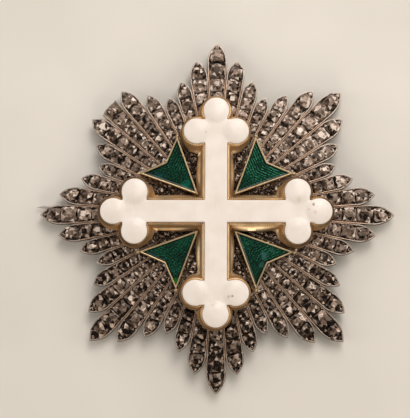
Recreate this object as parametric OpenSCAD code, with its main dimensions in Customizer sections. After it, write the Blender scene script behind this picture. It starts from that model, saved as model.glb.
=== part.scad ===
// A jewelled breast star of an order: a domed silver star of narrow rays set with rose-cut stones,
// with a white enamelled trefoil cross over a green enamelled saltire, and a hinged pin behind.
// It lies on its back, with its face up (+Z) and its top ray along +Y. Sizes are in millimetres.

/* [Star] */
// Reach of the longest rays from the centre
star_r = 42; // [40:0.5:44]
// How far the tips of the longest rays lie below the middle of the star
dome_drop = 3.2; // [2.8:0.1:3.6]
// Thickness of the silver at the rims
plate_t = 1.2; // [1:0.1:1.4]
// Width of the rim round each ray
rim_w = 0.32; // [0.26:0.02:0.4]
// Depth of the stone channels below the rims
channel_d = 0.5; // [0.4:0.05:0.6]

/* [Stones] */
// Clear space between a stone and the next
stone_gap = 0.12; // [0.1:0.01:0.2]
// Diameter of the smallest stone that is a solid here
smallest_stone = 1.6; // [1.6:0.02:2]
// Height of a stone's crown as a share of its diameter
crown_share = 0.28; // [0.2:0.01:0.34]

/* [White cross] */
// Reach of the white enamel along each arm
cross_reach = 26.9; // [26:0.1:28]
// Distance from the centre to the middle of each trefoil
trefoil_u = 18.9; // [18:0.1:20]
// Distance from a trefoil's middle to the middles of its side lobes
lobe_v = 4.6; // [4.2:0.1:5]
// Width of an arm's white enamel
arm_w = 5.2; // [4.8:0.1:5.6]
// Radius of the round lobes
lobe_r = 3.05; // [2.85:0.05:3.3]
// Height of the gold body
cross_h = 3.4; // [3:0.1:3.8]
// How far the gold reaches past the enamel at its foot
gold_flare = 0.95; // [0.9:0.05:1.3]

/* [Green saltire] */
// Distance from the centre to the inner point of each arm
apex_u = 5.9; // [5.7:0.1:6.2]
// Distance from the centre, along the arm, to its two outer points
tip_u = 19.35; // [18:0.05:19.6]
// Half the distance between the two outer points
tip_v = 6.3; // [5.8:0.05:6.4]
// Distance from the centre to the notch between the outer points
notch_u = 16.9; // [16:0.1:17.4]
// Width of the gold rim round the green enamel
cell_rim = 0.45; // [0.45:0.05:0.7]
// Height of the gold cells
cell_h = 1.35; // [1.1:0.05:1.5]

/* [Pin] */
// Diameter of the pin wire
pin_d = 1; // [0.8:0.05:1.1]
// How far left of the centre the pin's point lies
pin_reach = 42.9; // [42.6:0.1:44]
// How far above the centre line the pin lies
pin_y = 2; // [1:0.1:3]
// How far right of the centre the hinge lies
hinge_x = 30; // [29:0.5:31]
// How far left of the centre the catch lies
catch_x = 30; // [28:0.5:31]

/* [Hidden] */
$fn = 72;

// Colours as the photograph shows them
SILVER = "#8f867a";
STONE = "#6b6259";
GOLD = "#c09242";
GREEN = "#0d5a41";
WHITE = "#f3e9e0";
STEEL = "#b9b2aa";

// Clearance between two pieces that sit together
fit_gap = 0.05;
// A length that carries a cutting shape past the face it cuts
past = 1;

// Rays, one every ray_step degrees; the first row lies on the upright and level axes, the last
// on the diagonals. Columns: reach as a share of star_r, length of the pointed end, radius where
// the stone channel starts, which the crosses hide.
ray_step = 7.5;
ray_count = 360 / ray_step;
RAYS = [
    [1.000, 5.2, 25],
    [0.900, 4.5, 24],
    [0.795, 4.0, 21],
    [0.726, 3.6, 9],
    [0.795, 4.0, 9],
    [0.900, 4.5, 16],
    [1.000, 5.2, 16],
];
REACH = 0;
POINT = 1;
START = 2;
rays_per_quarter = 90 / ray_step;
upright_rows = 3;
// Row of RAYS for ray i, counted from the +X axis
function row_number(i) = let (k = i % rays_per_quarter) min(k, rays_per_quarter - k);
function ray_row(i) = RAYS[row_number(i)];

// The middle ray of the upper left fan has lost its tip; it ends here, cut a little askew
broken_ray = 18;
broken_reach = 36.8;
broken_skew = 4;
// The stone left at its end, smaller than its channel, as distance and radius; the next stone's
// distance follows
end_stone = [35.25, 1.2];
after_end = 32.2;

// Heights
pin_r = pin_d / 2;
ear_r = pin_r + 0.45;
pin_z = ear_r;
tip_bottom = 1.2;
star_mid_top = tip_bottom + plate_t + dome_drop;
// The dome in flat bands, given by their outer radii; it is level inside the first
BANDS = [6, 15, 24, 33, star_r + past];
DOME = [for (r = BANDS) [r, star_mid_top - dome_drop * pow(r / star_r, 2)]];
function star_top(r) = lookup(r, DOME);
function dome_tilt(r) = atan((star_top(r - past) - star_top(r + past)) / (2 * past));
cross_z = star_top(0) + fit_gap;
cross_top = cross_z + cross_h;

// Half the angle that one ray takes, a ray's shoulder, where its point starts, and its greatest
// half width
half_step = ray_step / 2;
function reach(row) = row[REACH] * star_r;
function shoulder(row) = reach(row) - row[POINT];
function widest(row) = shoulder(row) * tan(half_step);
// Radius of the two arcs that meet at a ray's tip
function arc_r(row) = (pow(widest(row), 2) + pow(row[POINT], 2)) / (2 * widest(row));

// Radius of the largest stone that fits a ray's channel with its middle r from the centre
function room(row, r) =
    let (side = r * sin(half_step) - rim_w,
         arc = arc_r(row) - rim_w
             - norm([max(r - shoulder(row), 0), arc_r(row) - widest(row)]))
    min(side, arc) - stone_gap / 2;

// Middles of a ray's stones, from the tip inwards, each just clear of the last. The first is
// the outermost with room for tip_stone.
tip_stone = 0.45;
search_step = 0.02;
function tip_start(row, r) = room(row, r) >= tip_stone ? r : tip_start(row, r - search_step);
function next_stone(row, r, guess, tries = 8) =
    tries == 0 ? guess
               : next_stone(row, r, r - room(row, r) - room(row, guess) - stone_gap, tries - 1);
function stone_row(row, r) =
    r - room(row, r) < row[START] ? []
                                  : concat([r], stone_row(row, next_stone(row, r, r - 1)));

// The stones of ray i that are large enough, as [ray, distance, radius]
function ray_stones(i) =
    let (row = ray_row(i),
         broken = i == broken_ray,
         first = broken ? after_end : tip_start(row, reach(row)))
    concat(broken ? [[i, end_stone[0], end_stone[1]]] : [],
           [for (r = stone_row(row, first))
               let (radius = room(row, r))
               if (2 * radius >= smallest_stone) [i, r, radius]]);

// A rose-cut stone: an eight-sided girdle under a faceted crown with a small table.
// Columns: share of the stone's radius, share of its height.
STONE_RINGS = [[0.9, 0], [1, 0.38], [0.42, 1]];
stone_sides = 8;
girdle_h = 0.25;
function stone_h(radius) = girdle_h + 2 * radius * crown_share;

// A stone's corners, where it stands on the floor of its channel
function stone_corners(i, r, radius) =
    let (tilt = dome_tilt(r), a = i * ray_step, floor_z = star_top(r) - channel_d + fit_gap)
    [for (ring = STONE_RINGS, k = [0 : stone_sides - 1])
        let (t = 360 * (k + 0.5) / stone_sides,
             x = ring[0] * radius * cos(t),
             y = ring[0] * radius * sin(t),
             z = ring[1] * stone_h(radius),
             u = r + x * cos(tilt) + z * sin(tilt))
        [u * cos(a) - y * sin(a), u * sin(a) + y * cos(a), floor_z - x * sin(tilt) + z * cos(tilt)]];

// A stone's faces, for corners numbered from s
function stone_faces(s) =
    let (n = stone_sides, last = s + (len(STONE_RINGS) - 1) * n)
    concat([[for (k = [0 : n - 1]) s + k]],
           [for (j = [0 : len(STONE_RINGS) - 2], k = [0 : n - 1])
               let (a = s + j * n + k, b = s + j * n + (k + 1) % n) [a, a + n, b + n, b]],
           [[for (k = [n - 1 : -1 : 0]) last + k]]);

// Every stone in the fans along the axes, or in those along the diagonals
module stone_field(upright) {
    field = [for (i = [0 : ray_count - 1])
                if ((row_number(i) < upright_rows) == upright) each ray_stones(i)];
    corners = stone_sides * len(STONE_RINGS);
    polyhedron(points = [for (s = field) each stone_corners(s[0], s[1], s[2])],
               faces = [for (n = [0 : len(field) - 1]) each stone_faces(n * corners)]);
}

module stones_upright() color(STONE) stone_field(true);

module stones_diagonal() color(STONE) stone_field(false);

// One side of a ray's pointed end, from its shoulder to its tip, drawn in by inset
arc_steps = 4;
function point_side(row, inset) =
    let (r = arc_r(row) - inset, drop = arc_r(row) - widest(row), tip = asin(drop / r))
    [for (k = [0 : arc_steps])
        let (t = 90 + (tip - 90) * k / arc_steps) [shoulder(row) + r * cos(t), r * sin(t) - drop]];
function turned(p, a) = [p[0] * cos(a) - p[1] * sin(a), p[0] * sin(a) + p[1] * cos(a)];

// The pointed end of a ray, counterclockwise from shoulder to shoulder
function ray_point(row, inset) =
    let (side = point_side(row, inset))
    concat([for (k = [0 : arc_steps]) [side[k][0], -side[k][1]]],
           [for (k = [arc_steps - 1 : -1 : 0]) side[k]]);

// Between two rays the outline follows the line that they share
module star_outline() {
    polygon([for (i = [0 : ray_count - 1], p = ray_point(ray_row(i), 0)) turned(p, i * ray_step)]);
}

module channel_outlines() {
    for (i = [0 : ray_count - 1])
        let (row = ray_row(i), start = row[START], half = start * tan(half_step) - rim_w)
            rotate(i * ray_step)
                polygon(concat([[start, half], [start, -half]], ray_point(row, rim_w)));
}

// The space between two heights above the star's top surface, which follows the dome
module dome_layer(low, high) {
    rotate_extrude()
        polygon(concat([[0, DOME[0][1] + low]], [for (b = DOME) [b[0], b[1] + low]],
                       [for (k = [len(DOME) - 1 : -1 : 0]) [DOME[k][0], DOME[k][1] + high]],
                       [[0, DOME[0][1] + high]]));
}

// Silver plate with a channel down each ray, and without the broken tip
module plate() {
    cut_w = 5.4;
    difference() {
        intersection() {
            linear_extrude(star_mid_top + past) star_outline();
            dome_layer(-plate_t, 0);
        }
        intersection() {
            linear_extrude(star_mid_top + past) channel_outlines();
            dome_layer(-channel_d, past);
        }
        rotate(broken_ray * ray_step)
            translate([broken_reach, 0, 0])
            rotate(broken_skew)
            translate([0, -cut_w / 2, 0])
            cube([star_r, cut_w, star_mid_top]);
    }
}

// Hinge on the back: two ears and the rivet between them
ear_t = 0.7;
barrel_w = 1.6;
side_play = 0.1;
rivet_r = 0.4;
hinge_w = barrel_w + 2 * (side_play + ear_t);
// How deep the hinge and the catch reach into the plate
solder_d = 0.3;
function solder_z(r) = star_top(r) - plate_t + solder_d;

module hinge_ears() {
    translate([hinge_x, pin_y, pin_z]) {
        for (side = [-1, 1])
            translate([0, side * (hinge_w - ear_t) / 2, 0]) {
                rotate([90, 0, 0]) cylinder(r = ear_r, h = ear_t, center = true);
                translate([-ear_r, -ear_t / 2, 0])
                    cube([2 * ear_r, ear_t, solder_z(hinge_x + ear_r) - pin_z]);
            }
        rotate([90, 0, 0]) cylinder(r = rivet_r, h = hinge_w, center = true);
    }
}

// Catch on the back: a fork that the pin swings up into
fork_l = 2.4;
fork_t = 0.7;
fork_play = 0.1;

module catch_fork() {
    slot_w = pin_d + 2 * fork_play;
    slot_top = pin_z + pin_r + fork_play;
    translate([-catch_x - fork_l / 2, pin_y, 0])
        difference() {
            translate([0, -slot_w / 2 - fork_t, 0])
                cube([fork_l, slot_w + 2 * fork_t, solder_z(catch_x + fork_l)]);
            translate([-past, -slot_w / 2, -past])
                cube([fork_l + 2 * past, slot_w, slot_top + past]);
        }
}

module ray_star() color(SILVER) {
    plate();
    hinge_ears();
    catch_fork();
}

// A bar of the gold body along X, from start to end, with sloping sides
rim_out = 0.35;
module flared_bar(start, end, half) {
    translate([start, 0, cross_z])
        rotate([90, 0, 90])
        linear_extrude(end - start)
        polygon([[-half - gold_flare, 0], [half + gold_flare, 0],
                 [half + rim_out, cross_h], [-half - rim_out, cross_h]]);
}

// The trefoil lobes of the arm along +X: middles, counted from the centre of the cross
LOBES = [[trefoil_u, -lobe_v], [trefoil_u, lobe_v], [cross_reach - lobe_r, 0]];
// The bars that join the lobes are a little narrower than the lobes are
neck = 0.25;
lobe_bar = lobe_r - neck;

module gold_body() {
    for (a = [0 : 90 : 270])
        rotate(a) {
            flared_bar(0, LOBES[2][0], arm_w / 2);
            translate([trefoil_u, 0, 0]) rotate(90) flared_bar(-lobe_v, lobe_v, lobe_bar);
            for (p = LOBES)
                translate([p[0], p[1], cross_z])
                    cylinder(r1 = lobe_r + gold_flare, r2 = lobe_r + rim_out, h = cross_h);
        }
}

// Plan of the white enamel, grown by more all round
module enamel_outline(more) {
    for (a = [0, 90])
        rotate(a) square([2 * LOBES[2][0], arm_w + 2 * more], center = true);
    for (a = [0 : 90 : 270])
        rotate(a) {
            translate([trefoil_u, 0])
                square([2 * (lobe_bar + more), 2 * lobe_v], center = true);
            for (p = LOBES)
                translate(p) circle(lobe_r + more);
        }
}

// White enamel: a flat cross let into the gold, with a dome on each lobe
enamel_d = 0.45;
enamel_rise = 0.35;
lobe_rise = 0.75;

module white_enamel() color(WHITE) {
    ball_r = (pow(lobe_r, 2) + pow(lobe_rise, 2)) / (2 * lobe_rise);
    low = cross_top - enamel_d + fit_gap;
    translate([0, 0, low]) linear_extrude(cross_top + enamel_rise - low) enamel_outline(0);
    for (a = [0 : 90 : 270], p = LOBES)
        rotate(a)
            translate([p[0], p[1], low])
            intersection() {
                cylinder(r = lobe_r, h = cross_h);
                translate([0, 0, cross_top + enamel_rise - low + lobe_rise - ball_r]) sphere(ball_r);
            }
}

// Plan of a green arm along +X, counterclockwise: inner point, outer point, notch, outer point
ARROW = [[apex_u, 0], [tip_u, -tip_v], [notch_u, 0], [tip_u, tip_v]];
function unit(v) = v / norm(v);
function left(v) = [-v[1], v[0]];

// The same plan drawn in by inset all round
function arrow_inside(inset) =
    [for (k = [0 : len(ARROW) - 1])
        let (n = len(ARROW),
             before = left(unit(ARROW[k] - ARROW[(k + n - 1) % n])),
             after = left(unit(ARROW[(k + 1) % n] - ARROW[k])))
        ARROW[k] + inset * (before + after) / (1 + before * after)];

// The tongue that carries each cell out from under the white cross, and the cell's ball tips
tongue_w = 1.6;
tongue_h = 0.7;
cell_ball_r = 0.5;
cell_floor = 0.6;

module cell() {
    difference() {
        union() {
            translate([0, 0, cross_z]) linear_extrude(cell_h) polygon(ARROW);
            translate([arm_w / 2, -tongue_w / 2, cross_z])
                cube([apex_u, tongue_w, tongue_h]);
            for (side = [-1, 1])
                translate([tip_u, side * tip_v, cross_z + cell_h / 2]) sphere(cell_ball_r);
        }
        translate([0, 0, cross_z + cell_floor])
            linear_extrude(cell_h) polygon(arrow_inside(cell_rim));
    }
}

module gold_cross() color(GOLD) {
    difference() {
        gold_body();
        translate([0, 0, cross_top - enamel_d])
            linear_extrude(cross_h) enamel_outline(fit_gap);
    }
    for (a = [45 : 90 : 315])
        rotate(a) cell();
}

// Green enamel of the cell at angle a, a little below the cell's rim
green_drop = 0.08;
module green_enamel(a) color(GREEN) {
    rotate(a)
        translate([0, 0, cross_z + cell_floor + fit_gap])
        linear_extrude(cell_h - cell_floor - fit_gap - green_drop)
        polygon(arrow_inside(cell_rim + fit_gap));
}

// Pin: a wire with a point, and the barrel that turns on the hinge's rivet
barrel_r = 0.85;
point_l = 4;
point_r = 0.12;

module pin() color(STEEL) {
    wire_l = hinge_x + pin_reach - point_l;
    translate([hinge_x, pin_y, pin_z])
        difference() {
            union() {
                rotate([90, 0, 0]) cylinder(r = barrel_r, h = barrel_w, center = true);
                rotate([0, -90, 0]) cylinder(r = pin_r, h = wire_l);
                translate([-wire_l, 0, 0])
                    rotate([0, -90, 0])
                    cylinder(r1 = pin_r, r2 = point_r, h = point_l);
            }
            rotate([90, 0, 0])
                cylinder(r = rivet_r + fit_gap, h = barrel_w + past, center = true);
        }
}

ray_star();
stones_upright();
stones_diagonal();
gold_cross();
white_enamel();
green_enamel(45);  // green_enamel_ne
green_enamel(135);  // green_enamel_nw
green_enamel(225);  // green_enamel_sw
green_enamel(315);  // green_enamel_se
pin();
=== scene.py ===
"""Looks of a jewelled breast star: silver rays set with rose-cut stones, a gold trefoil cross under
white enamel, four green enamelled cells between its arms, and a steel brooch pin behind.

A piece is measured in millimetres while it is made, and becomes an object in metres. In names, r
is a radius or the distance from the star's middle, w a width, h a height, t a thickness, l a
length and z a height above the floor. u runs along an arm of the cross, and v across it.
"""
import logging
import math
from dataclasses import dataclass, field
from enum import Enum
from functools import partial
from typing import Callable, Sequence

import bmesh
import bpy
import numpy as np
from bpy.types import Material, Node, NodeSocket, NodeTree, Object
from mathutils import Matrix, Vector
from mathutils.geometry import delaunay_2d_cdt


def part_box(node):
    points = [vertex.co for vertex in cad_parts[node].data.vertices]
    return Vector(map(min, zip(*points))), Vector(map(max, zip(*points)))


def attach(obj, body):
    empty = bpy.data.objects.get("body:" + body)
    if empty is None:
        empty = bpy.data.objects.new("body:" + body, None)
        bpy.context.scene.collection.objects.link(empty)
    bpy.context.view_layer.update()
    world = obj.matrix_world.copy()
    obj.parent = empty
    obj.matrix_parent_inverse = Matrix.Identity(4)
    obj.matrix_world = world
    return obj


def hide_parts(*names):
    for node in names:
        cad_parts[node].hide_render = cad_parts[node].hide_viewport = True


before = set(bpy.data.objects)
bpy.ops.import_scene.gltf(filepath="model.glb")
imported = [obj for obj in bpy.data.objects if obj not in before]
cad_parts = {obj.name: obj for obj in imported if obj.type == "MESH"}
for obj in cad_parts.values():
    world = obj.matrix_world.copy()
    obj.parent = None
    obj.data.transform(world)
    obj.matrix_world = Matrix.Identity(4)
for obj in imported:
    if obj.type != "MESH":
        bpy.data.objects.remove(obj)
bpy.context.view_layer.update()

MM = 0.001
STAR = "star"
PIN = "pin"
Place = tuple[float, float, float]
log = logging.getLogger("breast_star")


# Helpers for colours, nodes and meshes

def linear(hex_code: str) -> tuple[float, ...]:
    """Turns an sRGB hex colour into the linear colour that a shader takes.

    Args:
        hex_code: The colour as "#rrggbb".

    Returns:
        Red, green, blue and an alpha of one.
    """
    shares = [int(hex_code[k:k + 2], 16) / 255 for k in (1, 3, 5)]
    return (*[s / 12.92 if s <= 0.04045 else ((s + 0.055) / 1.055) ** 2.4 for s in shares], 1.0)


def per_mm(size: float) -> float:
    """Returns the texture scale at which a pattern's parts measure size millimetres."""
    return 1 / (size * MM)


def wire(tree: NodeTree, node: Node, inputs: dict) -> None:
    """Sets or links a node's inputs.

    Args:
        tree: The node's tree.
        node: The node.
        inputs: For each input, by name or number, a value, a socket, or a node whose first
            output in use is linked.
    """
    for key, value in inputs.items():
        if isinstance(value, Node):
            value = next(socket for socket in value.outputs if socket.enabled)
        if isinstance(value, NodeSocket):
            tree.links.new(value, node.inputs[key])
        else:
            node.inputs[key].default_value = value


def add(tree: NodeTree, kind: str, *firsts: object, stops: Sequence[tuple[float, str]] = (),
        **named: object) -> Node:
    """Adds a node to a tree, with its settings, its values and its links.

    Args:
        tree: The shader or geometry tree.
        kind: Blender's name for the node's type, without "ShaderNode" where it starts with it.
        firsts: What the first of the inputs in use are set or linked to.
        stops: Places and hex colours, where the node is a colour ramp.
        named: Inputs by name, which start with a capital and have _ for a space, and settings.

    Returns:
        The new node.
    """
    node = tree.nodes.new(kind if "Node" in kind else "ShaderNode" + kind)
    inputs = {name.replace("_", " "): v for name, v in named.items() if name[0].isupper()}
    for name, value in named.items():
        if name[0].islower():
            setattr(node, name, value)
    for k, (place, hex_code) in enumerate(stops):
        ramp = node.color_ramp.elements
        stop = ramp[k] if k < 2 else ramp.new(place)
        stop.position = place
        stop.color = linear(hex_code)
    in_use = [k for k, socket in enumerate(node.inputs) if socket.enabled]
    wire(tree, node, {**dict(zip(in_use, firsts)), **inputs})
    return node


def geometry_tree(name: str, **sockets: str) -> tuple[NodeTree, partial, dict[str, NodeSocket]]:
    """Starts a Geometry Nodes tree.

    Args:
        name: The tree's name.
        sockets: Each input's name, with _ for a space, and its type of socket.

    Returns:
        The tree, what adds a node to it, and its inputs by name.
    """
    tree = bpy.data.node_groups.new(name, "GeometryNodeTree")
    for socket, kind in sockets.items():
        tree.interface.new_socket(socket.replace("_", " "), in_out="INPUT",
                                  socket_type="NodeSocket" + kind)
    tree.interface.new_socket("Geometry", in_out="OUTPUT", socket_type="NodeSocketGeometry")
    return tree, partial(add, tree), tree.nodes.new("NodeGroupInput").outputs


def placed(name: str, data: bpy.types.ID | None) -> Object:
    """Adds an object to the scene.

    Args:
        name: Its name.
        data: Its mesh, light or camera.

    Returns:
        The object.
    """
    thing = bpy.data.objects.new(name, data)
    bpy.context.scene.collection.objects.link(thing)
    return thing


def grown(host: Object, tree: NodeTree, name: str, **values: object) -> Object:
    """Runs a Geometry Nodes tree on a host and turns the result into a plain mesh.

    Args:
        host: The object that the tree starts from. It is deleted.
        tree: The tree, which ends in realized instances with their material.
        name: The new piece's name.
        values: What each named input of the tree is set to, with _ for a space.

    Returns:
        The new piece, with no modifier.
    """
    modifier = host.modifiers.new("grow", "NODES")
    modifier.node_group = tree
    for socket in tree.interface.items_tree:
        key = socket.name.replace(" ", "_")
        if socket.in_out == "INPUT" and key in values:
            modifier[socket.identifier] = values[key]
    depsgraph = bpy.context.evaluated_depsgraph_get()
    mesh = bpy.data.meshes.new_from_object(host.evaluated_get(depsgraph), depsgraph=depsgraph)
    host.modifiers.remove(modifier)
    bpy.data.objects.remove(host)
    mesh.name = name
    return placed(name, mesh)


def lifted(plan: np.ndarray, z: float | np.ndarray) -> np.ndarray:
    """Returns the places of a plan at a height, or at a height each."""
    return np.column_stack([plan, np.broadcast_to(z, len(plan))])


def circle(radius: float, angles: np.ndarray) -> np.ndarray:
    """Returns the plan of a circle's points at some angles, in radians."""
    return radius * np.column_stack([np.cos(angles), np.sin(angles)])


def rotated(plan: np.ndarray, turn: float) -> np.ndarray:
    """Returns a plan turned about the centre by an angle in radians."""
    c, s = round(math.cos(turn), 12), round(math.sin(turn), 12)
    return plan @ np.array([[c, s], [-s, c]])


def mirrored(side: np.ndarray) -> np.ndarray:
    """Returns the plan between a left side, which ends on the X axis, and its mirror image."""
    return np.vstack([side * (1, -1), side[-2::-1]])


def unit(rows: np.ndarray) -> np.ndarray:
    """Returns each row as a vector with a length of one."""
    return rows / np.linalg.norm(rows, axis=1)[:, None]


@dataclass
class Shell:
    """Points, faces and marks of a piece while it is made.

    A face lists its corners counterclockwise, seen from outside. The marks are the mesh's named
    attributes, each with one number a point.
    """

    points: list[Place] = field(default_factory=list)
    faces: list[tuple[int, ...]] = field(default_factory=list)
    marks: dict[str, list[float]] = field(default_factory=lambda: {"depth": []})

    def ring(self, places: np.ndarray, **marks: float | np.ndarray) -> np.ndarray:
        """Adds points in a row.

        Args:
            places: One row of x, y and z a point.
            marks: Attribute values, one for all the points or one each.

        Returns:
            The numbers of the new points.
        """
        start = len(self.points)
        self.points.extend(map(tuple, places))
        for name in self.marks:
            value = np.broadcast_to(marks.get(name, 0.0), len(places))
            self.marks[name].extend(float(v) for v in value)
        return np.arange(start, len(self.points))

    def bridge(self, low: np.ndarray, high: np.ndarray, closed: bool = True) -> None:
        """Adds the wall between two rings that run counterclockwise, the second above the first.

        Args:
            low: Numbers of the lower ring's points.
            high: Numbers of the upper ring's points.
            closed: Whether the last point is joined to the first.
        """
        count = len(low)
        for a in range(count if closed else count - 1):
            b = (a + 1) % count
            self.faces.append((low[a], low[b], high[b], high[a]))

    def ladder(self, ring: np.ndarray, up: bool) -> None:
        """Closes a ray's ring with rungs from one side to the other.

        Args:
            ring: Numbers of the points, symmetric about the middle one.
            up: Whether the faces look up.
        """
        last = len(ring) - 1
        tip = last // 2
        for k in range(tip):
            face = [ring[k], ring[k + 1], ring[last - k - 1], ring[last - k]]
            if k == tip - 1:
                face.pop(2)
            self.faces.append(tuple(face if up else reversed(face)))

    def cap(self, ring: np.ndarray, up: bool) -> None:
        """Closes a ring with one face."""
        self.faces.append(tuple(ring if up else ring[::-1]))

    def skin(self, rings: Sequence[np.ndarray],
             foot: Callable[[np.ndarray, bool], None] | None = None,
             head: Callable[[np.ndarray, bool], None] | None = None,
             **marks: float | Sequence[float | np.ndarray]) -> list[np.ndarray]:
        """Adds rings and the walls between them.

        Args:
            rings: Places of each ring, from the bottom up.
            foot: What closes the first ring, or None to leave it open.
            head: What closes the last ring, or None to leave it open.
            marks: Attribute values, one for all the rings or a list with those of each.

        Returns:
            The numbers of each ring's points.
        """
        numbers = [self.ring(places, **{name: value[k] if isinstance(value, list) else value
                                        for name, value in marks.items()})
                   for k, places in enumerate(rings)]
        if foot:
            foot(numbers[0], False)
        for low, high in zip(numbers, numbers[1:]):
            self.bridge(low, high)
        if head:
            head(numbers[-1], True)
        return numbers

    def patch(self, outline: np.ndarray, inner: np.ndarray,
              height: Callable[[np.ndarray], np.ndarray], up: bool = True,
              depth: float = 0.0) -> None:
        """Fills an outline with triangles through the inner points.

        Args:
            outline: Plan of the edge, counterclockwise.
            inner: Plan of the points inside it.
            height: Gives the height at each place of a plan.
            up: Whether the faces look up.
            depth: The depth mark of its points.
        """
        count = len(outline)
        flat = [Vector(p) for p in np.vstack([outline, inner])]
        edges = [(k, (k + 1) % count) for k in range(count)]
        inside_only, nearest = 1, 1e-5
        made = delaunay_2d_cdt(flat, edges, [], inside_only, nearest)
        plan = np.array([tuple(v) for v in made[0]])
        numbers = self.ring(lifted(plan, height(plan)), depth=depth)
        for a, b, c in made[2]:
            (ax, ay), (bx, by), (cx, cy) = plan[a], plan[b], plan[c]
            turns_left = (bx - ax) * (cy - ay) - (by - ay) * (cx - ax) > 0
            corners = (a, b, c) if turns_left == up else (a, c, b)
            self.faces.append(tuple(numbers[k] for k in corners))

    def join(self, other: "Shell", place: Matrix = Matrix.Identity(4)) -> None:
        """Takes in another shell.

        Args:
            other: The shell.
            place: How it is turned and moved, in millimetres.
        """
        start = len(self.points)
        self.points.extend(tuple(place @ Vector(point)) for point in other.points)
        self.faces.extend(tuple(start + k for k in face) for face in other.faces)
        for name in self.marks:
            self.marks[name].extend(other.marks.get(name, [0.0] * len(other.points)))

    def made(self, name: str, finish: Material | None = None, crease: float | None = 35.0,
             weld: float = 0.0) -> Object:
        """Makes the mesh object.

        Args:
            name: The object's name.
            finish: Its material.
            crease: Angle in degrees above which an edge stays sharp, or None for flat faces.
            weld: Distance in millimetres within which points are merged.

        Returns:
            The object, in metres, at the origin.
        """
        mesh = bpy.data.meshes.new(name)
        mesh.from_pydata(self.points, [], [tuple(int(k) for k in f) for f in self.faces])
        for mark, values in self.marks.items():
            mesh.attributes.new(mark, "FLOAT", "POINT").data.foreach_set("value", values)
        mesh.transform(Matrix.Scale(MM, 4))
        if weld:
            work = bmesh.new()
            work.from_mesh(mesh)
            bmesh.ops.remove_doubles(work, verts=work.verts, dist=weld * MM)
            work.to_mesh(mesh)
            work.free()
        mesh.validate()
        if crease is not None:
            mesh.shade_smooth()
            mesh.set_sharp_from_angle(angle=math.radians(crease))
        if finish:
            mesh.materials.append(finish)
        return placed(name, mesh)


def turned(profile: Sequence[tuple[float, float]], sides: int, depth: float = 0.0) -> Shell:
    """Turns a profile about the Z axis, as on a lathe.

    Args:
        profile: Radius and height from the bottom up; a radius of zero closes an end.
        sides: How many sides the round has.
        depth: The depth mark of its points.

    Returns:
        The turned shell.
    """
    shell = Shell()
    angles = np.arange(sides) * 2 * math.pi / sides
    shell.skin([lifted(circle(max(r, 0.0), angles), z) for r, z in profile], depth=depth)
    return shell


def ball(radius: float, sides: int, rows: int, depth: float) -> Shell:
    """Returns a ball round the origin, turned in rows of sides, with one depth mark."""
    bends = np.linspace(-math.pi / 2, math.pi / 2, rows)
    return turned(circle(radius, bends), sides, depth)


def hex_grid(half: float, pitch: float) -> np.ndarray:
    """Lays a triangular grid over a square.

    Args:
        half: Half the square's side.
        pitch: Distance between two points of a row.

    Returns:
        The grid's plan.
    """
    rows = np.arange(-half, half, pitch * math.sin(math.pi / 3))
    columns = np.arange(-half, half, pitch)
    return np.array([(x + (k % 2) * pitch / 2, y) for k, y in enumerate(rows) for x in columns])


def outward(piece: Object) -> Object:
    """Turns the faces of closed shells outwards.

    Args:
        piece: The piece that they are in.

    Returns:
        The same piece.
    """
    mesh = bmesh.new()
    mesh.from_mesh(piece.data)
    bmesh.ops.recalc_face_normals(mesh, faces=mesh.faces)
    mesh.to_mesh(piece.data)
    mesh.free()
    return piece


def joined(pieces: Sequence[Object], name: str) -> Object:
    """Joins objects that sit at the origin into one.

    Args:
        pieces: The objects, which are deleted apart from the first.
        name: The new name.

    Returns:
        The joined object.
    """
    first = pieces[0]
    with bpy.context.temp_override(active_object=first, selected_editable_objects=list(pieces),
                                   selected_objects=list(pieces), object=first):
        bpy.ops.object.join()
    first.name = first.data.name = name
    return first


# Finishes

@dataclass(frozen=True)
class EnamelMark:
    """A small round stain, chip or painted reflection: its place, radius and colour, and how much
    it hides.
    """

    x: float
    y: float
    radius: float
    colour: str
    strength: float


class Finish:
    """What every finish shares: a material with one Principled shader."""

    def started(self, name: str) -> tuple[Material, partial, NodeSocket]:
        """Starts a material.

        Args:
            name: The material's name.

        Returns:
            The material, what adds a node to its tree, and the place on the piece.
        """
        material = bpy.data.materials.new(name)
        material.use_nodes = True
        node = partial(add, material.node_tree)
        return material, node, node("TexCoord").outputs["Object"]

    def finished(self, material: Material, **inputs: object) -> Material:
        """Fills the shader's inputs.

        Args:
            material: The material.
            inputs: Inputs by name, with _ for a space, as wire takes them.

        Returns:
            The same material.
        """
        tree = material.node_tree
        wire(tree, tree.nodes["Principled BSDF"],
             {name.replace("_", " "): value for name, value in inputs.items()})
        return material

    def marked(self, node: partial, place: NodeSocket, colour: Node,
               marks: Sequence[EnamelMark], soft: float) -> Node:
        """Adds marks with ragged, soft edges to a colour.

        Args:
            node: What adds a node to the material's tree.
            place: The place on the piece.
            colour: The unmarked colour.
            marks: The marks.
            soft: How wide their edges are, in millimetres.

        Returns:
            The marked colour.
        """
        x, y, _ = node("SeparateXYZ", place).outputs
        plan = node("CombineXYZ", x, y)
        ragged = node("TexNoise", place, Scale=per_mm(soft))
        spread = node("Math", ragged, 1.6 * soft * MM, operation="MULTIPLY")
        for mark in marks:
            away = node("VectorMath", plan, (mark.x * MM, mark.y * MM, 0.0), operation="DISTANCE")
            share = node("MapRange", node("Math", away, spread), (mark.radius + 0.3 * soft) * MM,
                         (mark.radius + 1.3 * soft) * MM, mark.strength, 0.0)
            colour = node("Mix", share, colour, linear(mark.colour), data_type="RGBA")
        return colour


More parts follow.
